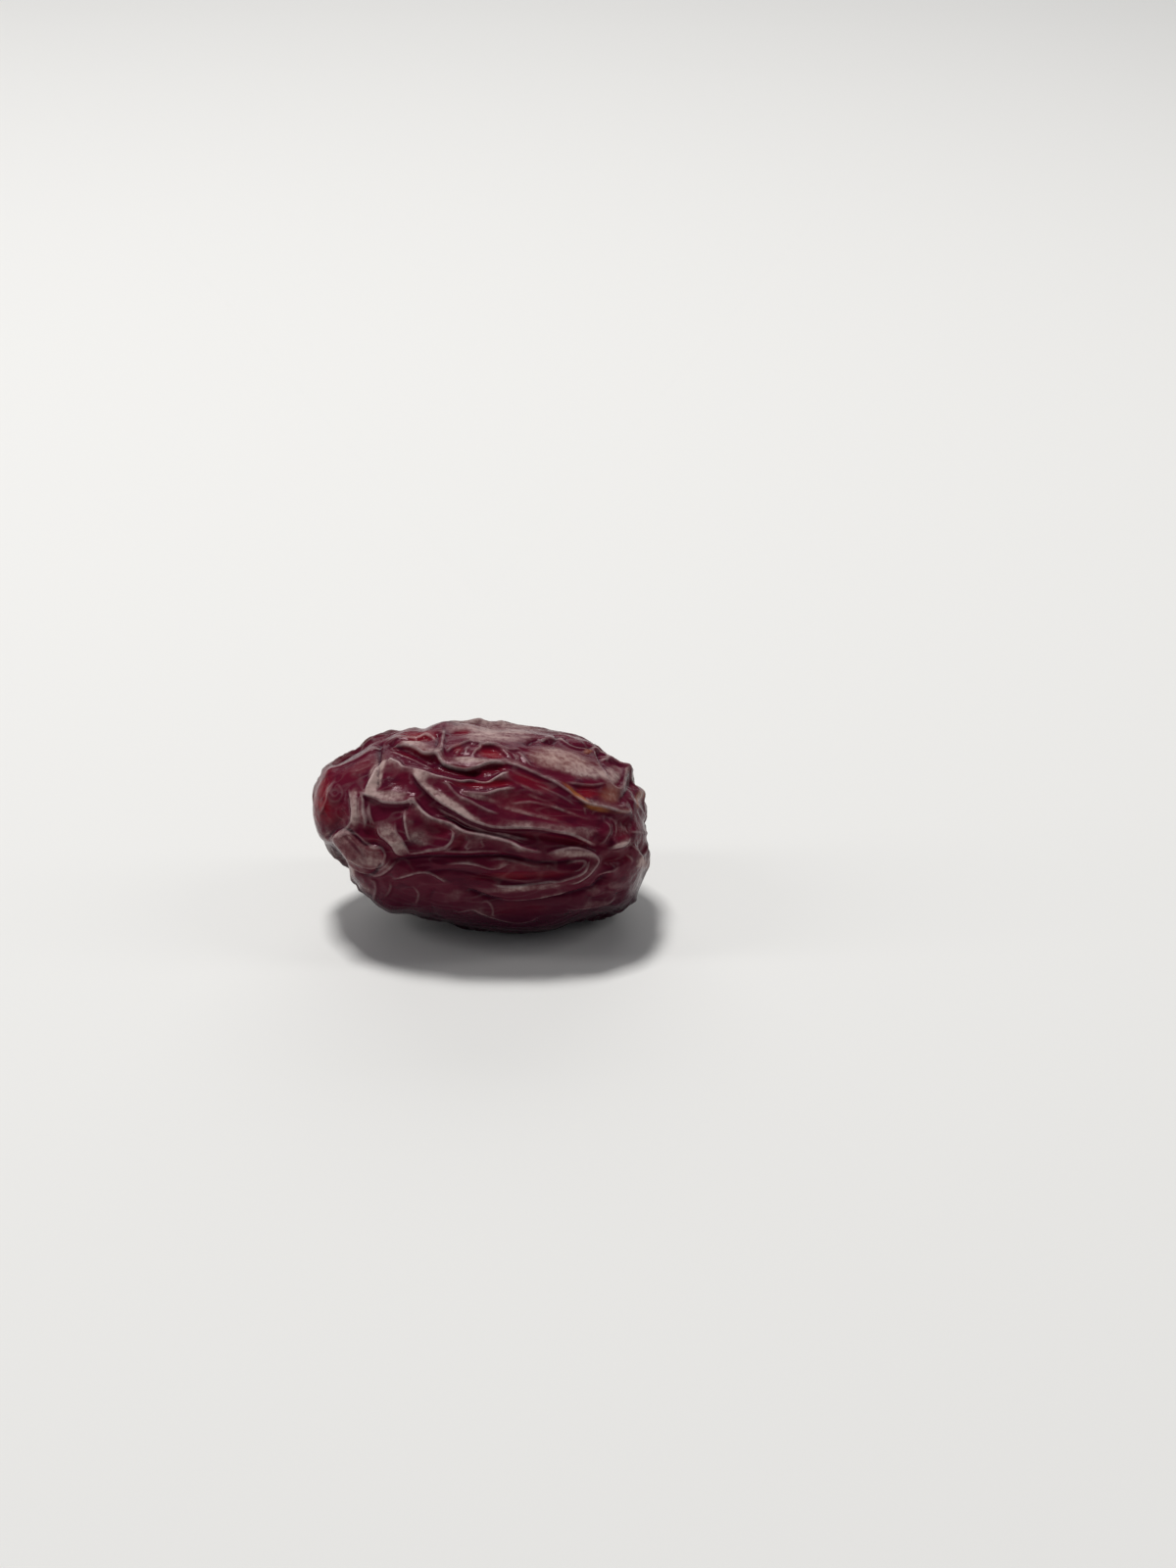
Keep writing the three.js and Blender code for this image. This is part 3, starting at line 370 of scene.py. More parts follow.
# Patches on the same side: name, middle, half length and half width on the grid, turn in degrees,
# lift in millimetres, bloom and painted sheen, clear red, amber
PATCHES = [
    ("tip top flat", (-134, 73), (22, 12), 27, -0.5, 0, 0, 0),
    ("tip shoulder", (-158, 58), (10, 8), 30, 0.35, 0, 0, 0),
    ("nape", (-78, 100), (22, 9), 10, 0.6, 0, 0, 0),
    ("tip underside flat", (-149, -36), (22, 13), -50, -1.3, 0, 0, 0),
    ("chin swell", (-95, -87), (24, 16), -35, 1.15, 0, 0, 0),
    ("belly swell", (20, -109), (80, 12), 3, 0.95, 0, 0, 0),
    ("crown", (-41, 103), (16, 10), 0, 0.6, 0, 0, 0),
    ("upper back", (-20, 104), (30, 8), 0, 0.6, 0, 0, 0),
    ("back flat", (14, 110), (28, 12), 0, -0.6, 0, 0, 0),
    ("stem shoulder", (155, 59), (12, 11), -40, 1.7, 0, 0, 0),
    ("stem corner", (166, 42), (8, 14), -10, 1.7, 0, 0, 0),
    ("far back", (103, 89), (30, 9), -20, 0.6, 0, 0, 0),
    ("stem foot", (164, -62), (12, 14), 20, -0.15, 0, 0, 0),
    ("stem underside", (114, -95), (30, 12), 10, -0.6, 0, 0, 0),
    ("tip facet", (-130, 58), (30, 12), 24, 0.05, 0.25, 0.2, 0),
    ("tip knob", (-147, 33), (7, 9), 0, 0.3, 0.45, 0, 0),
    ("tip knob dimple", (-145, 33), (2, 2), 0, -0.12, -0.2, 0, 0),
    ("tip hollow", (-147, 12), (12, 15), -15, -0.2, -0.1, 0.6, 0),
    ("tip end", (-160, 28), (9, 26), -15, 0, -0.1, 0.9, 0),
    ("tip strap", (-126, 16), (5, 18), 0, 0.15, 0.75, 0, 0),
    ("tip foot", (-152, -8), (12, 8), 30, 0, 0.35, 0, 0),
    ("grey facet", (-105, 50), (7, 22), -16, 0.05, 1.15, 0, 0),
    ("knee facet", (-88, 31), (20, 5), 2, 0.05, 0.8, 0, 0),
    ("recess", (-80, 49), (12, 12), 20, -0.25, -0.1, 0.15, 0),
    ("band head", (-60, 50), (8, 9), 40, 0.2, 0.75, 0, 0),
    ("pillow", (-121, -25), (31, 16), -20, 0.6, 0.65, 0.1, 0),
    ("chin facet", (-138, -45), (13, 6), -35, 0, 0.85, 0, 0),
    ("chin knob", (-114, -62), (8, 10), -20, 0.4, 0.3, 0, 0),
    ("chin bump", (-97, -62), (7, 8), 0, 0.35, 0.2, 0, 0),
    ("lip facet", (-62, 90), (20, 4), 0, -0.5, -0.4, 1.0, 0),
    ("lip grey", (-66, 83), (14, 4), -12, 0, 0.8, 0, 0),
    ("upper trough", (-66, 74), (26, 5), -18, -0.2, -0.6, 1.0, 0),
    ("middle trough", (-22, 56), (26, 4), -8, -0.1, -0.6, 1.0, 0),
    ("top facet", (12, 93), (44, 9), -2, 0.05, 0.9, 0, 0),
    ("top hollow", (-18, 94), (10, 2), 8, -0.25, -0.8, 0.6, 0),
    ("left lobe", (-22, 77), (5, 5), 0, -0.1, -0.3, 0.6, 0),
    ("lobe shine", (-12, 66), (18, 4), -5, 0, 0.9, 0, 0),
    ("right lobe", (12, 73), (14, 6), -8, -0.15, -0.4, 0.9, 0),
    ("lid hollow", (12, 58), (16, 4), 8, -0.15, -0.2, 0.6, 0),
    ("eye hollow", (4, 42), (28, 4), 2, -0.3, -0.2, 0.9, 0),
    ("eye floor", (-2, 28), (22, 3), -12, 0.05, 0.5, 0, 0),
    ("plain", (58, 19), (44, 12), -14, -0.3, 0.2, 0.3, 0),
    ("plain top", (54, 44), (24, 6), -20, -0.1, 0.05, 0.5, 0),
    ("plain streak", (62, 33), (34, 2.5), -24, 0.05, 0.35, 0, 0),
    ("second plain streak", (78, 20), (34, 2.5), -24, 0.05, 0.4, 0, 0),
    ("third plain streak", (52, 12), (36, 2.5), -14, 0.05, 0.35, 0, 0),
    ("plain floor", (80, -3), (50, 5), -6, 0.1, 0.35, 0, 0),
    ("band", (-28, 19), (42, 6), -35, 0.15, 0.9, 0, 0),
    ("far facet", (84, 67), (32, 11), -10, 0.1, 0.9, 0, 0.12),
    ("far low facet", (106, 55), (24, 8), -8, 0, 0.8, 0, 0),
    ("small facet", (138, 54), (9, 13), -35, 0.1, 0.75, 0, 0),
    ("red facet", (110, 35), (11, 7), -10, -0.15, -0.3, 1.0, 0),
    ("brown facet", (133, 32), (11, 9), 0, 0, 0.35, 0, 0.25),
    ("amber lip", (99, 31), (17, 2.4), -40, 0, 0, 0, 0.75),
    ("amber foot", (120, 17), (12, 2.4), -12, 0, 0, 0, 0.65),
    ("amber hem", (146, 14), (10, 2), 5, 0, 0, 0, 0.15),
    ("amber post", (160, 26), (2.5, 8), 0, 0, 0, 0, 0.4),
    ("amber bead", (110, 75), (4, 2), 0, 0.1, 0, 0, 0.6),
    ("amber edge", (84, 93), (8, 2), -8, 0, 0, 0, 0.5),
    ("stem hollow", (145, -3), (9, 12), 0, -0.3, -0.2, 0.3, 0),
    ("stem dark", (138, -33), (16, 7), 8, -0.35, -0.4, 0.4, 0),
    ("tuck shine", (146, -20), (13, 3), 12, 0, 0.8, 0, 0),
    ("flap", (165, -38), (6, 7), 0, 0.2, 0.9, 0, 0),
    ("band trough", (80, -14), (45, 4), -8, -0.2, -0.3, 0.5, 0),
    ("lens upper", (95, -28), (24, 4), 0, 0.1, 0.6, 0, 0),
    ("lens core", (45, -41), (32, 7), -3, 0.15, 0.4, 0.2, 0),
    ("lens trough", (40, -51), (45, 4), 3, -0.2, -0.3, 0.8, 0),
    ("lens band", (52, -62), (42, 4), 6, 0.1, 0.6, 0, 0),
    ("cheek dark", (-108, -6), (7, 12), 20, -0.3, -0.2, 0.25, 0),
    ("cheek strip", (-88, -12), (9, 20), 30, 0.05, 0.6, 0, 0),
    ("cheek hollow", (-42, -2), (14, 9), -15, -0.4, -0.1, 0.2, 0),
    ("cheek facet", (-58, -12), (12, 9), -30, 0, 0.5, 0, 0),
    ("middle knob", (-6, -20), (11, 6), 30, 0.15, 0.25, 0, 0),
    ("dark gully", (-21, -17), (5, 10), -35, -0.25, -0.2, 0.3, 0),
    ("belly patch", (-25, -71), (14, 7), 20, 0.25, 0.3, 0, 0),
    ("belly shine", (-6, -88), (12, 3), 5, 0.1, 0.35, 0, 0),
    ("stem patch", (117, -65), (7, 7), 0, 0.2, 0.45, 0, 0),
    ("second stem patch", (136, -60), (8, 6), 0, 0.2, 0.35, 0, 0),
    ("belly stem patch", (118, -82), (17, 5), 8, 0.15, 0.3, 0, 0),
    ("belly red", (40, -86), (30, 6), 0, -0.1, -0.1, 0.4, 0),
]


def unit(vectors):
    return vectors / np.linalg.norm(vectors, axis=-1, keepdims=True)


def smooth_rise(share):
    t = np.clip(share, 0, 1)
    return t * t * (3 - 2 * t)


def random_from(seed):
    """Seeded random numbers from 0 to 1."""
    state = seed
    multiplier = 7**5
    modulus = 2**31 - 1
    while True:
        state = state * multiplier % modulus
        yield state / modulus


def body_points(directions):
    """Points of the smooth body in the directions of unit vectors, from the middle of the fruit."""
    x, y, z = directions.T
    bluntness = np.where(x < 0, TIP_BLUNTNESS, STEM_BLUNTNESS)
    size = (np.abs(x) ** bluntness + np.hypot(y, z) ** bluntness) ** (1 / bluntness)
    points = directions * [HALF_LENGTH, HALF_WIDTH, HALF_THICKNESS] / size[:, None]
    points[:, 2] -= AXIS_SLOPE * points[:, 0] + AXIS_BEND * (points[:, 0] / HALF_LENGTH) ** 3
    return points


def body_point(direction):
    return body_points(direction[None])[0]


def body_normals(directions):
    """Outward normals of the smooth body, from two small steps across it."""
    step = 1e-3
    steepest = 0.9
    aside = np.where(np.abs(directions[:, 1:2]) > steepest, [[0.0, 0.0, 1.0]], [[0.0, 1.0, 0.0]])
    first = unit(np.cross(aside, directions))
    second = np.cross(directions, first)
    here = body_points(directions)
    along_first = body_points(unit(directions + first * step)) - here
    along_second = body_points(unit(directions + second * step)) - here
    return unit(np.cross(along_first, along_second))


def side_view(points):
    """Where points show in the side view, in millimetres across and up."""
    nearness = 1 - points @ VIEW_TOWARD / VIEW_DISTANCE
    return points @ VIEW_RIGHT / nearness, points @ VIEW_UP / nearness


def lift_to_body(across, up, height):
    """Point of the body whose skin, raised by a height, shows at a place of the side view."""
    swell = 1 + height / HALF_THICKNESS
    aim = np.array([across / HALF_LENGTH, up / HALF_THICKNESS])
    for _ in range(AIMING_PASSES):
        aim *= min(1, AIM_LIMIT / np.linalg.norm(aim))
        direction = VIEW_RIGHT * aim[0] + VIEW_UP * aim[1] + VIEW_TOWARD * math.sqrt(1 - aim @ aim)
        point = body_point(direction)
        shown_across, shown_up = side_view(point * swell)
        aim[0] += (across - shown_across) / HALF_LENGTH
        aim[1] += (up - shown_up) / HALF_THICKNESS
    return point


def around_body(along, degrees):
    """Point of the body a distance along from its middle and an angle round from the line of sight."""
    angle = math.radians(degrees)
    share = min(max(along / HALF_LENGTH, -AIM_LIMIT), AIM_LIMIT)
    ring = math.sqrt(1 - share * share)
    return body_point(VIEW_RIGHT * share + (VIEW_UP * math.sin(angle) + VIEW_TOWARD * math.cos(angle)) * ring)


def smooth_route(route, samples_per_span):
    """The route as a curve through its points, in short straight stretches."""
    route = np.array(route, float)
    ends = np.vstack([2 * route[0] - route[1], route, 2 * route[-1] - route[-2]])
    points = []
    for i in range(len(route) - 1):
        p0, p1, p2, p3 = ends[i:i + 4]
        for t in np.arange(samples_per_span) / samples_per_span:
            a = 2 * p1 + (p2 - p0) * t
            b = (2 * p0 - 5 * p1 + 4 * p2 - p3) * t**2 + (3 * p1 - p0 - 3 * p2 + p3) * t**3
            points.append((a + b) / 2)
    points.append(route[-1])
    return np.array(points)


def fold_of(drop, height, reach, points, mark=1.0):
    return {"drop": drop, "height": height, "reach": reach, "points": np.array(points), "mark": mark}


def drawn_folds(drawn):
    folds = []
    for _, drop, height, reach, route in drawn:
        flat = smooth_route(route, FOLD_SAMPLES) * GRID
        points = [lift_to_body(across, up, height) for across, up in flat]
        folds.append(fold_of(drop, height, reach, points))
    return folds


def pucker_folds(draw):
    """Puckers that run in to the stem scar from all round it."""
    side = np.array([0.0, 1.0, 0.0])
    upright = unit(np.cross(SCAR_AIM, side))
    folds = []
    for i in range(PUCKERS):
        turn = (i + PUCKER_JITTER * next(draw)) / PUCKERS * 2 * math.pi
        end = PUCKER_LEAST_END + PUCKER_END_RANGE * next(draw)
        route = []
        for step, spread in enumerate((*PUCKER_STARTS, end)):
            angle = turn + PUCKER_BEND * step * (next(draw) - 0.5)
            aim = SCAR_AIM + spread * (side * math.cos(angle) + upright * math.sin(angle))
            route.append(body_point(unit(aim)))
        height = PUCKER_LEAST_HEIGHT + PUCKER_HEIGHT_RANGE * next(draw)
        folds.append(fold_of("both", height, PUCKER_REACH, smooth_route(route, PUCKER_SAMPLES), PUCKER_MARK))
    return folds


def cell_seeds(draw):
    """Middles of the cells, with a share for each by which it stands out or in."""
    seeds, steps = [], []
    for ring in range(RINGS):
        for cell in range(RING_CELLS):
            along = (ring - (RINGS - 1) / 2 + CELL_JITTER_ALONG * (next(draw) - 0.5)) * RING_SPACING
            turn = cell + ring % 2 / 2 + CELL_JITTER_ROUND * (next(draw) - 0.5)
            seeds.append(around_body(along, turn * 360 / RING_CELLS))
            steps.append(next(draw) - 0.5)
    return np.array(seeds), np.array(steps)


def swayed(points):
    """Points drawn together lengthwise and moved sideways in waves, in which the cells are measured."""
    x, y, z = points.T
    sway_y = CELL_SWAY * np.sin(0.45 * x + 0.3 * z)
    sway_z = CELL_SWAY * np.sin(0.4 * x + 0.35 * y + 1)
    return np.column_stack([x / CELL_STRETCH, y + sway_y, z + sway_z])


def cell_relief(points, draw):
    """For each point: how far its cell stands out, and how strong and how near the ridges are there."""
    seeds, steps = cell_seeds(draw)
    here, middles = swayed(points), swayed(seeds)
    squares = (here**2).sum(1)[:, None] + (middles**2).sum(1) - 2 * here @ middles.T
    gaps = np.sqrt(np.maximum(squares, 0))
    first, second = np.partition(gaps, 1, axis=1)[:, :2].T
    nearness = np.exp((first[:, None] ** 2 - gaps**2) / CELL_SOFTNESS)
    step = nearness @ steps / nearness.sum(1)
    x, y, z = points.T
    strength = RIDGE_STRENGTH + RIDGE_STRENGTH_RANGE * np.sin(0.31 * x + 0.5 * y - 0.37 * z)
    rounded = np.hypot((second - first) / 2, CREST_ROUNDING) - CREST_ROUNDING
    return step, strength, strength * np.exp(-rounded / RIDGE_REACH)


def fine_wrinkles(points):
    """Heights of the shallow wrinkles, and the signed way to the crests of the wide ones."""
    wide = np.array([noise.noise(Vector(place)) for place in points * WIDE_WRINKLES])
    narrow = np.array([noise.noise(Vector(place)) for place in points * NARROW_WRINKLES + NARROW_SHIFT])
    heights = WIDE_HEIGHT * (WRINKLE_LEVEL - abs(wide)) + NARROW_HEIGHT * (WRINKLE_LEVEL - abs(narrow))
    return heights, wide / WRINKLE_STEEPNESS


def mark_line(marks, near, distance, weight):
    """Adds a line to the marks near it: weighted signed distances, weights, and the best weight."""
    weight = weight * np.exp(-((distance / LINE_REACH) ** 4))
    marks[0, near] += weight**2 * distance
    marks[1, near] += weight**2
    marks[2, near] = np.maximum(marks[2, near], weight)


def line_of(marks):
    """Signed distance to the line at each point, and the furthest one where there is no line."""
    nowhere = np.full(marks.shape[1], REACH_LIMIT)
    return np.divide(marks[0], marks[1], out=nowhere, where=marks[1] > 0)


def place_on_line(line, points, normals):
    """For each point: its distance off the line, straight and along the skin, its side, and the fade."""
    start, stretch = line[:-1], np.diff(line, axis=0)
    lengths = np.linalg.norm(stretch, axis=1)
    run = np.concatenate([[0], np.cumsum(lengths)])
    offset = points[:, None] - start
    share = np.clip(np.einsum("psk,sk->ps", offset, stretch) / lengths**2, 0, 1)
    offset -= share[..., None] * stretch
    distance = np.linalg.norm(offset, axis=2)
    pick = distance.argmin(1)
    rows = np.arange(len(points))
    nearest = distance[rows, pick]
    side = np.einsum("pk,pk->p", np.cross(normals, stretch[pick]), offset[rows, pick])
    depth = np.einsum("pk,pk->p", normals, offset[rows, pick])
    level = np.sqrt(np.maximum(0, nearest**2 - depth**2))
    along = run[pick] + share[rows, pick] * lengths[pick]
    fade = smooth_rise(along / FOLD_FADE) * smooth_rise((run[-1] - along) / FOLD_FADE)
    return nearest, level, side, fade


def add_fold(fold, points, normals, relief, bloom_and_sheen, crests, creases):
    """Adds one fold's height, with painted sheen on its gentle side and painted shade under its steep side, to
    the points that it reaches, and marks its crest or crease.
    """
    line = fold["points"]
    limit = REACH_LIMIT * max(fold["reach"], MOAT_REACH)
    inside = (points > line.min(0) - limit) & (points < line.max(0) + limit)
    near = np.flatnonzero(np.all(inside, axis=1))
    nearest, level, side, fade = place_on_line(line, points[near], normals[near])
    rounded = np.hypot(nearest, CREST_ROUNDING) - CREST_ROUNDING
    steep = side < 0 if fold["drop"] == "below" else side > 0
    if fold["drop"] == "both":
        shape = np.exp(-rounded / (fold["reach"] * THIN_RIDGE))
    else:
        shape = np.exp(-rounded / fold["reach"])
    if fold["drop"] in ("above", "below"):
        moat = MOAT_DEPTH * np.exp(-rounded / MOAT_REACH)
        shape = np.where(steep, (1 + MOAT_DEPTH) * np.exp(-rounded / DROP_REACH) - moat, shape)
        # Painted sheen on the gentle side of the crest, painted shade under the steep side
        shaded = smooth_rise(0.5 + np.where(steep, nearest, -nearest) / SIDE_BLEND)
        sheen = (1 - shaded) * np.exp(-nearest / SHEEN_REACH) - shaded * np.exp(-nearest / SHADE_REACH)
        bloom_and_sheen[near] += SHEEN * abs(fold["height"]) * fade * sheen
    relief[near] += fold["height"] * fade * shape * (nearest < limit)
    weight = fade * fold["mark"] * np.minimum(1, LEAST_MARK + abs(fold["height"]))
    mark_line(crests if fold["height"] > 0 else creases, near, np.where(steep, level, -level), weight)


def add_patches(points, facing, relief, bloom_and_sheen, clear, amber):
    """Lifts and tints the drawn patches of the side that is seen; the bloom tints hold painted sheen."""
    across, up = side_view(points)
    lifted = smooth_rise((facing - LUMPS_END) / LUMPS_BLEND)
    tinted = smooth_rise((facing - TINTS_END) / TINTS_BLEND)
    for _, (middle_across, middle_up), (half_length, half_width), turn, lift, *tints in PATCHES:
        angle = math.radians(turn)
        offset_across = across / GRID - middle_across
        offset_up = up / GRID - middle_up
        long_way = (offset_across * math.cos(angle) + offset_up * math.sin(angle)) / half_length
        wide_way = (offset_up * math.cos(angle) - offset_across * math.sin(angle)) / half_width
        weight = np.exp(-((long_way**2 + wide_way**2) ** 2))
        relief += lift * lifted * weight
        for layer, tint in zip((bloom_and_sheen, clear, amber), tints):
            layer += tint * tinted * weight


def add_scar(points, relief, amber, creases):
    """Sinks the stem scar, with its amber stub in the middle and a ragged dark ring round that."""
    from_scar = np.linalg.norm(points - body_point(SCAR_AIM), axis=1)
    relief -= SCAR_DEPTH * np.exp(-((from_scar / SCAR_RADIUS) ** 2))
    relief += STUB_HEIGHT * np.exp(-((from_scar / STUB_RADIUS) ** 4))
    ragged = from_scar + SCAR_RAGGEDNESS * np.sin(2.1 * points[:, 1] + 1) * np.sin(2.7 * points[:, 2])
    amber += STUB_AMBER * np.exp(-((ragged / STUB_RADIUS) ** 4))
    mark_line(creases, np.arange(len(points)), ragged - SCAR_RING, np.ones(len(points)))


def skin_layers(points, normals):
    """The skin's height over the smooth body at each point, and what its finish is told there."""
    count = len(points)
    facing = normals @ VIEW_TOWARD
    relief, bloom_and_sheen, clear, amber = np.zeros((4, count))
    crests, creases = np.zeros((2, 3, count))
    draw = random_from(SEED)
    step, strength, ridge = cell_relief(points, draw)
    away = smooth_rise((CELLS_START - facing) / CELLS_BLEND)
    relief += away * (RIDGE_HEIGHT * ridge + CELL_STEP * step)
    bloom_and_sheen += away * (RIDGE_BLOOM * ridge + STEP_BLOOM * step + CELL_BLOOM)
    clear += away * np.maximum(0, -step)
    for fold in drawn_folds(SEEN_FOLDS) + pucker_folds(draw) + drawn_folds(FINE_FOLDS):
        add_fold(fold, points, normals, relief, bloom_and_sheen, crests, creases)
    add_patches(points, facing, relief, bloom_and_sheen, clear, amber)
    wrinkles, wrinkle_line = fine_wrinkles(points)
    sideways = 1 - smooth_rise((np.abs(normals[:, 0]) - ENDS_START) / ENDS_BLEND)
    relief += wrinkles * (SEEN_WRINKLES + FAR_WRINKLES * away * sideways)
    add_scar(points, relief, amber, creases)
    return {
        "relief": relief,
        "crest_line": line_of(crests),
        "crest": crests[2],
        "crease_line": line_of(creases),
        "crease": creases[2],
        "away": away,
        "wrinkle_line": wrinkle_line,
        "wrinkle": strength * sideways * (SEEN_WRINKLE_LINES + FAR_WRINKLE_LINES * away),
        "bloom_and_sheen": bloom_and_sheen,
        "clear": clear,
        "amber": amber,
    }


def make_skin():
    """The fine skin: a cube cut into a round grid, carried to the body and raised in folds."""
    mesh = bpy.data.meshes.new("date_skin")
    bm = bmesh.new()
    bmesh.ops.create_cube(bm, size=2)
    bmesh.ops.subdivide_edges(bm, edges=bm.edges, cuts=SKIN_CUTS, use_grid_fill=True)
    bm.to_mesh(mesh)
    bm.free()
    cube = np.empty(len(mesh.vertices) * 3)
    mesh.vertices.foreach_get("co", cube)
    directions = unit(np.tan(cube.reshape(-1, 3) * math.pi / 4) * [MIDDLE_CROWDING, 1, 1])
    directions = unit(directions + SEEN_CROWDING * VIEW_TOWARD)
    points = body_points(directions)
    normals = body_normals(directions)
    layers = skin_layers(points, normals)
    skin = points + normals * layers["relief"][:, None]
    skin[:, 2] = np.maximum(0, skin[:, 2] + CENTRE_HEIGHT)
    skin[:, :2] -= (skin.min(0) + skin.max(0))[:2] / 2
    mesh.vertices.foreach_set("co", (skin * MM).ravel())
    for name, values in layers.items():
        mesh.attributes.new(name, "FLOAT", "POINT").data.foreach_set("value", values.astype(np.float32))
    for face in mesh.polygons:
        face.use_smooth = True
    mesh.update()
    piece = bpy.data.objects.new("date_skin", mesh)
    bpy.context.scene.collection.objects.link(piece)
    return piece


class Finish:
    """Short words for building a material's nodes."""

    def __init__(self, material):
        material.use_nodes = True
        self.nodes = material.node_tree.nodes
        self.links = material.node_tree.links
        self.shader = self.nodes["Principled BSDF"]
        self.place = self.nodes.new("ShaderNodeTexCoord").outputs["Object"]
        split = self.nodes.new("ShaderNodeSeparateXYZ")
        self.links.new(self.place, split.inputs["Vector"])
        self.height = split.outputs["Z"]

    def feed(self, socket, value):
        if isinstance(value, bpy.types.NodeSocket):
            self.links.new(value, socket)
        else:
            socket.default_value = value

    def layer(self, name):
        node = self.nodes.new("ShaderNodeAttribute")
        node.attribute_name = name
        return node.outputs["Fac"]

    def math(self, operation, first, second=0.0, clamp=False):
        node = self.nodes.new("ShaderNodeMath")
        node.operation = operation
        node.use_clamp = clamp
        self.feed(node.inputs[0], first)
        self.feed(node.inputs[1], second)
        return node.outputs[0]

    def times(self, first, second, clamp=False):
        return self.math("MULTIPLY", first, second, clamp)

    def most(self, first, second):
        return self.math("MAXIMUM", first, second)

    def off_line(self, name):
        return self.math("ABSOLUTE", self.layer(name))

    def noise(self, scale, detail, stretch=(1, 1, 1)):
        mapping = self.nodes.new("ShaderNodeMapping")
        mapping.inputs["Scale"].default_value = stretch
        self.links.new(self.place, mapping.inputs["Vector"])
        node = self.nodes.new("ShaderNodeTexNoise")
        node.inputs["Scale"].default_value = scale
        node.inputs["Detail"].default_value = detail
        self.links.new(mapping.outputs["Vector"], node.inputs["Vector"])
        return node.outputs["Fac"]

    def span(self, value, low, high, to_low, to_high):
        """What a value gives: a smooth rise or fall from one number to another, between its low and high."""
        node = self.nodes.new("ShaderNodeMapRange")
        node.interpolation_type = "SMOOTHSTEP"
        names = ("Value", "From Min", "From Max", "To Min", "To Max")
        for name, number in zip(names, (value, low, high, to_low, to_high)):
            self.feed(node.inputs[name], number)
        return node.outputs["Result"]

    def mix(self, share, first, second):
        node = self.nodes.new("ShaderNodeMix")
        node.data_type = "RGBA"
        node.clamp_factor = True
        self.feed(node.inputs[0], share)
        for socket, colour in ((node.inputs[6], first), (node.inputs[7], second)):
            self.feed(socket, (*colour, 1) if isinstance(colour, tuple) else colour)
        return node.outputs[2]

    def bump(self, height, distance, strength, normal=None):
        node = self.nodes.new("ShaderNodeBump")
        node.inputs["Strength"].default_value = strength
        node.inputs["Distance"].default_value = distance
        self.links.new(height, node.inputs["Height"])
        if normal:
            self.links.new(normal, node.inputs["Normal"])
        return node.outputs["Normal"]


def flesh_colour(finish, patchy):
    """Maroon, clear red where the skin is thin, and browned on the far side."""
    clear = finish.times(finish.layer("clear"), finish.span(patchy, *CLEAR_PATCHES))
    browned = finish.times(finish.layer("away"), finish.span(patchy, *BROWN_PATCHES))
    return finish.mix(browned, finish.mix(clear, MAROON, CLEAR_RED), BROWN)


def crease_shade_share(finish):
    """Painted shade in the creases, and just under the steep side of the crests."""
    crease = finish.times(finish.layer("crease"), finish.span(finish.off_line("crease_line"), *CREASE_LINE))
    past_crest = finish.layer("crest_line")
    under = finish.times(finish.span(past_crest, *UNDER_START), finish.span(past_crest, *UNDER_END))
    under = finish.times(under, finish.times(finish.layer("crest"), UNDER_CREST_SHADE))
    return finish.most(crease, under)


def shade_and_streak_share(finish, streaks, crease):
    """Painted shade in the creases, in the hollows and at the foot, and dark thin streaks."""
    hollow = finish.span(finish.layer("relief"), *SHADE_IN_HOLLOWS)
    foot = finish.span(finish.height, *SHADE_AT_FOOT)
    dark = finish.most(finish.most(hollow, foot), crease)
    return finish.most(dark, finish.span(streaks, *DARK_STREAKS))


def bloom_and_sheen_share(finish, patchy, fine, streaks, crease):
    """Waxy bloom with painted sheen, rubbed off in patches and in streaks, and taken off by painted shade in
    the creases and at the foot.
    """
    bloom_and_sheen = finish.math("SUBTRACT", finish.layer("bloom_and_sheen"), finish.times(crease, CREASE_SHADE_ON_BLOOM))
    bloom_and_sheen = finish.math("ADD", bloom_and_sheen, finish.span(patchy, *BLOOM_PATCHES))
    bloom_and_sheen = finish.times(bloom_and_sheen, finish.span(fine, *BLOOM_GRAIN))
    bloom_and_sheen = finish.times(bloom_and_sheen, finish.span(streaks, *BLOOM_STREAKS))
    return finish.times(bloom_and_sheen, finish.span(finish.height, *FOOT_SHADE_ON_BLOOM), clamp=True)


def amber_share(finish, patchy):
    amber = finish.times(finish.layer("amber"), finish.span(patchy, *AMBER_PATCHES), clamp=True)
    return finish.times(amber, AMBER_COVER)


def crest_highlight_share(finish, patchy, fine):
    """Painted highlights: pale lines on the crests of the folds and of the wide wrinkles."""
    crest = finish.times(finish.layer("crest"), finish.span(finish.off_line("crest_line"), *CREST_LINE))
    wrinkle = finish.span(finish.off_line("wrinkle_line"), *WRINKLE_LINE)
    crest = finish.most(crest, finish.times(wrinkle, finish.layer("wrinkle")))
    crest = finish.times(crest, finish.span(patchy, *CREST_PATCHES))
    crest = finish.times(crest, finish.span(finish.height, *CREST_FOOT))
    return finish.times(crest, finish.span(fine, *CREST_GRAIN))


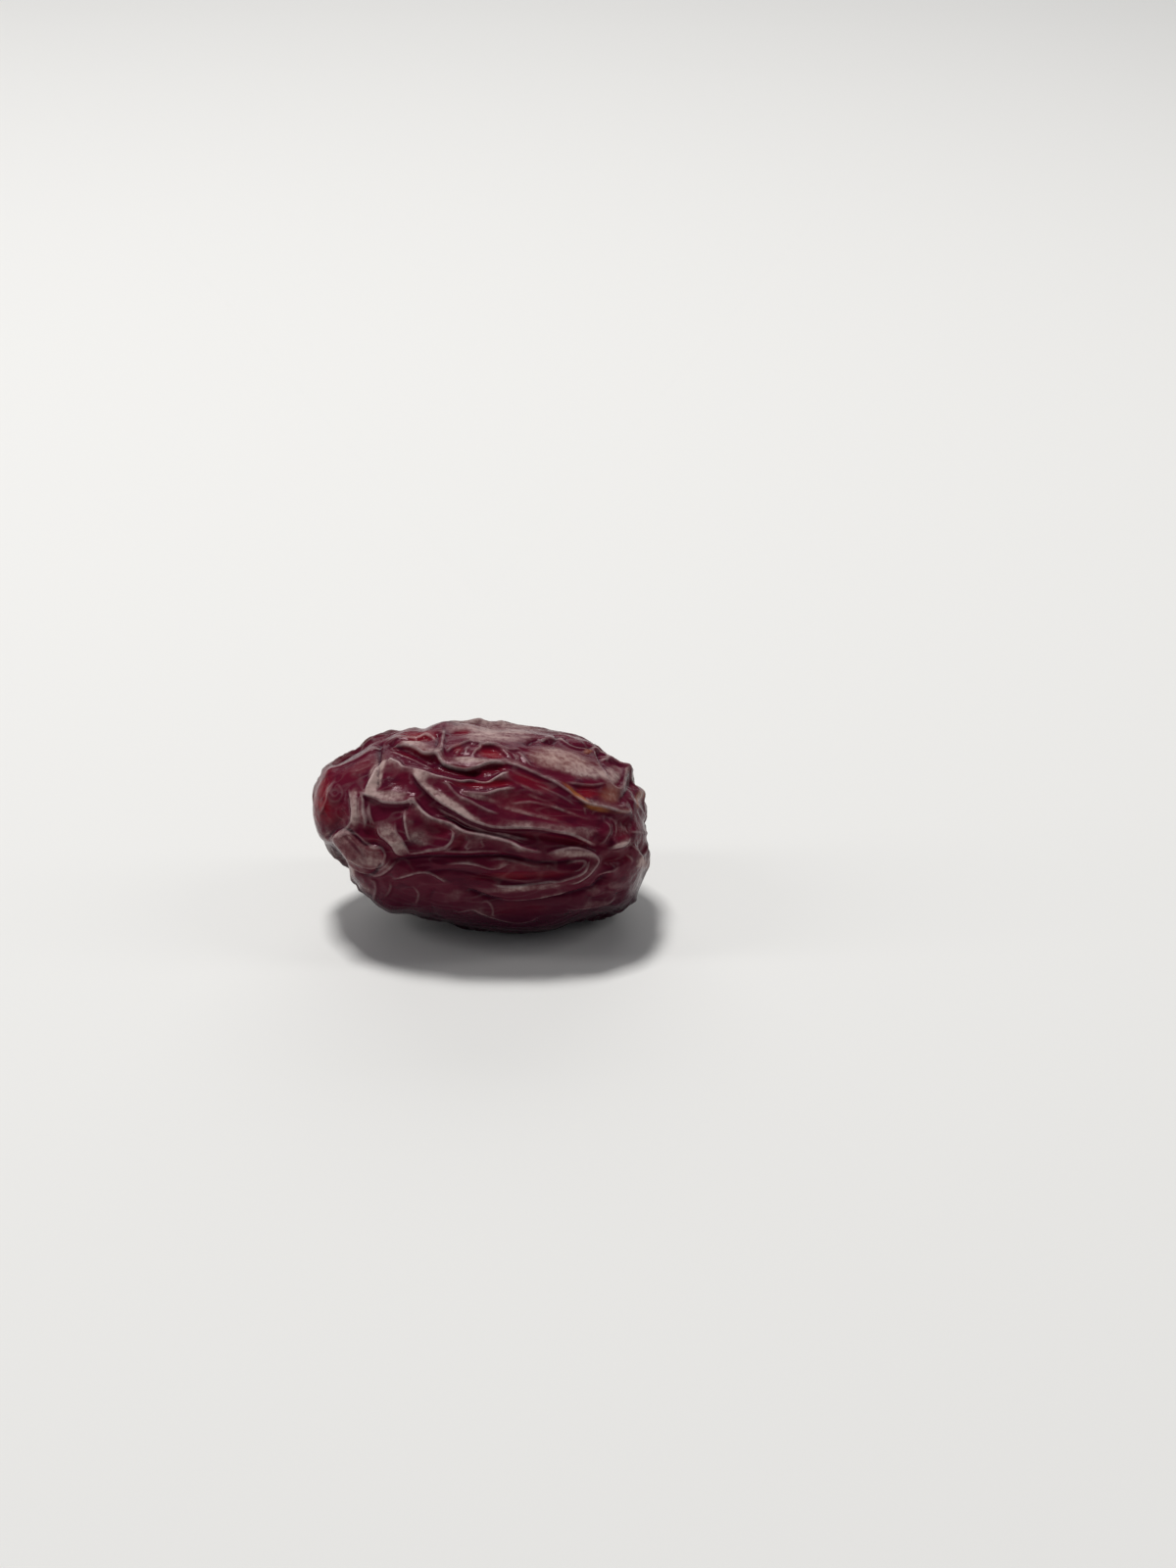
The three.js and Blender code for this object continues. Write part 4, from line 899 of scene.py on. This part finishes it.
def skin_material():
    material = bpy.data.materials.new("date_skin")
    finish = Finish(material)
    patchy = finish.noise(*PATCHY_NOISE)
    fine = finish.noise(*FINE_NOISE)
    streaks = finish.noise(*STREAK_NOISE)
    crease = crease_shade_share(finish)
    bloom_and_sheen = bloom_and_sheen_share(finish, patchy, fine, streaks, crease)
    colour = flesh_colour(finish, patchy)
    # Painted shade over the flesh, then the bloom with its painted sheen, the amber, and painted highlights on
    # the crests
    colour = finish.mix(shade_and_streak_share(finish, streaks, crease), colour, SHADE_AND_STREAK_DARK)
    colour = finish.mix(finish.span(bloom_and_sheen, *BLOOM_AND_SHEEN_COVER), colour, BLOOM_AND_SHEEN)
    colour = finish.mix(amber_share(finish, patchy), colour, AMBER)
    colour = finish.mix(crest_highlight_share(finish, patchy, fine), colour, CREST_HIGHLIGHT)
    grain = finish.bump(fine, *FINE_GRAIN, finish.bump(streaks, *STREAK_GRAIN))
    finish.feed(finish.shader.inputs["Base Color"], colour)
    finish.feed(finish.shader.inputs["Roughness"], finish.span(bloom_and_sheen, *BLOOM_ROUGHNESS))
    finish.feed(finish.shader.inputs["IOR"], SKIN_IOR)
    finish.feed(finish.shader.inputs["Specular Tint"], SKIN_GLOSS_TINT)
    finish.feed(finish.shader.inputs["Normal"], grain)
    return material


def make_floor():
    mesh = bpy.data.meshes.new("floor")
    bm = bmesh.new()
    bmesh.ops.create_grid(bm, x_segments=1, y_segments=1, size=FLOOR_HALF_SIZE)
    bm.to_mesh(mesh)
    bm.free()
    floor = bpy.data.objects.new("floor", mesh)
    bpy.context.scene.collection.objects.link(floor)
    material = bpy.data.materials.new("floor")
    material.use_nodes = True
    shader = material.node_tree.nodes["Principled BSDF"]
    shader.inputs["Base Color"].default_value = (*FLOOR_COLOUR, 1)
    shader.inputs["Roughness"].default_value = FLOOR_ROUGHNESS
    shader.inputs["Specular IOR Level"].default_value = FLOOR_GLOSS
    mesh.materials.append(material)


def make_lamp(name, place, size, power):
    data = bpy.data.lights.new(name, "AREA")
    data.shape = "RECTANGLE"
    data.size, data.size_y = size
    data.energy = power
    lamp = bpy.data.objects.new(name, data)
    lamp.location = place
    lamp.rotation_mode = "QUATERNION"
    lamp.rotation_quaternion = (Vector(LAMP_AIM) - Vector(place)).to_track_quat("-Z", "Y")
    bpy.context.scene.collection.objects.link(lamp)


def make_light():
    for lamp in LAMPS:
        make_lamp(*lamp)
    world = bpy.data.worlds.new("room")
    world.use_nodes = True
    background = world.node_tree.nodes["Background"]
    background.inputs["Color"].default_value = (*ROOM_COLOUR, 1)
    background.inputs["Strength"].default_value = ROOM_STRENGTH
    bpy.context.scene.world = world
    bpy.context.scene.view_settings.view_transform = "Standard"


def make_camera():
    """The camera, at the photograph's viewing angle, with the fruit where it stands in the photograph."""
    data = bpy.data.cameras.new("camera")
    data.sensor_width = SENSOR
    data.lens = LENS
    data.clip_start = NEAR_CLIP
    camera = bpy.data.objects.new("camera", data)
    bpy.context.scene.collection.objects.link(camera)
    bpy.context.scene.camera = camera
    focal_pixels = LENS / SENSOR * FRAME_HEIGHT
    seen_at = Vector((FRUIT_ACROSS - FRAME_WIDTH / 2, FRAME_HEIGHT / 2 - FRUIT_DOWN, -focal_pixels))
    sight = Vector(-VIEW_TOWARD)
    to_frame = seen_at.rotation_difference(Vector((0, 0, -1)))
    camera.rotation_mode = "QUATERNION"
    camera.rotation_quaternion = sight.to_track_quat("-Z", "Y") @ to_frame
    camera.location = Vector((0, 0, CENTRE_HEIGHT * MM)) - sight * VIEW_DISTANCE * MM


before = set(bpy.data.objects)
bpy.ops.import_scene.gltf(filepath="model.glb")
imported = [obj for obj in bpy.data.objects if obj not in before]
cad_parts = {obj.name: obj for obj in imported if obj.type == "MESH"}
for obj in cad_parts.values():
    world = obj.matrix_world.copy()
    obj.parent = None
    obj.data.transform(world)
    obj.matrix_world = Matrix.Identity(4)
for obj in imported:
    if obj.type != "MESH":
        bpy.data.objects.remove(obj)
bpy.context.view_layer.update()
make_camera()
make_floor()
make_light()
skin = make_skin()
skin.data.materials.append(skin_material())
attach(skin, "root")
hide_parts("date")
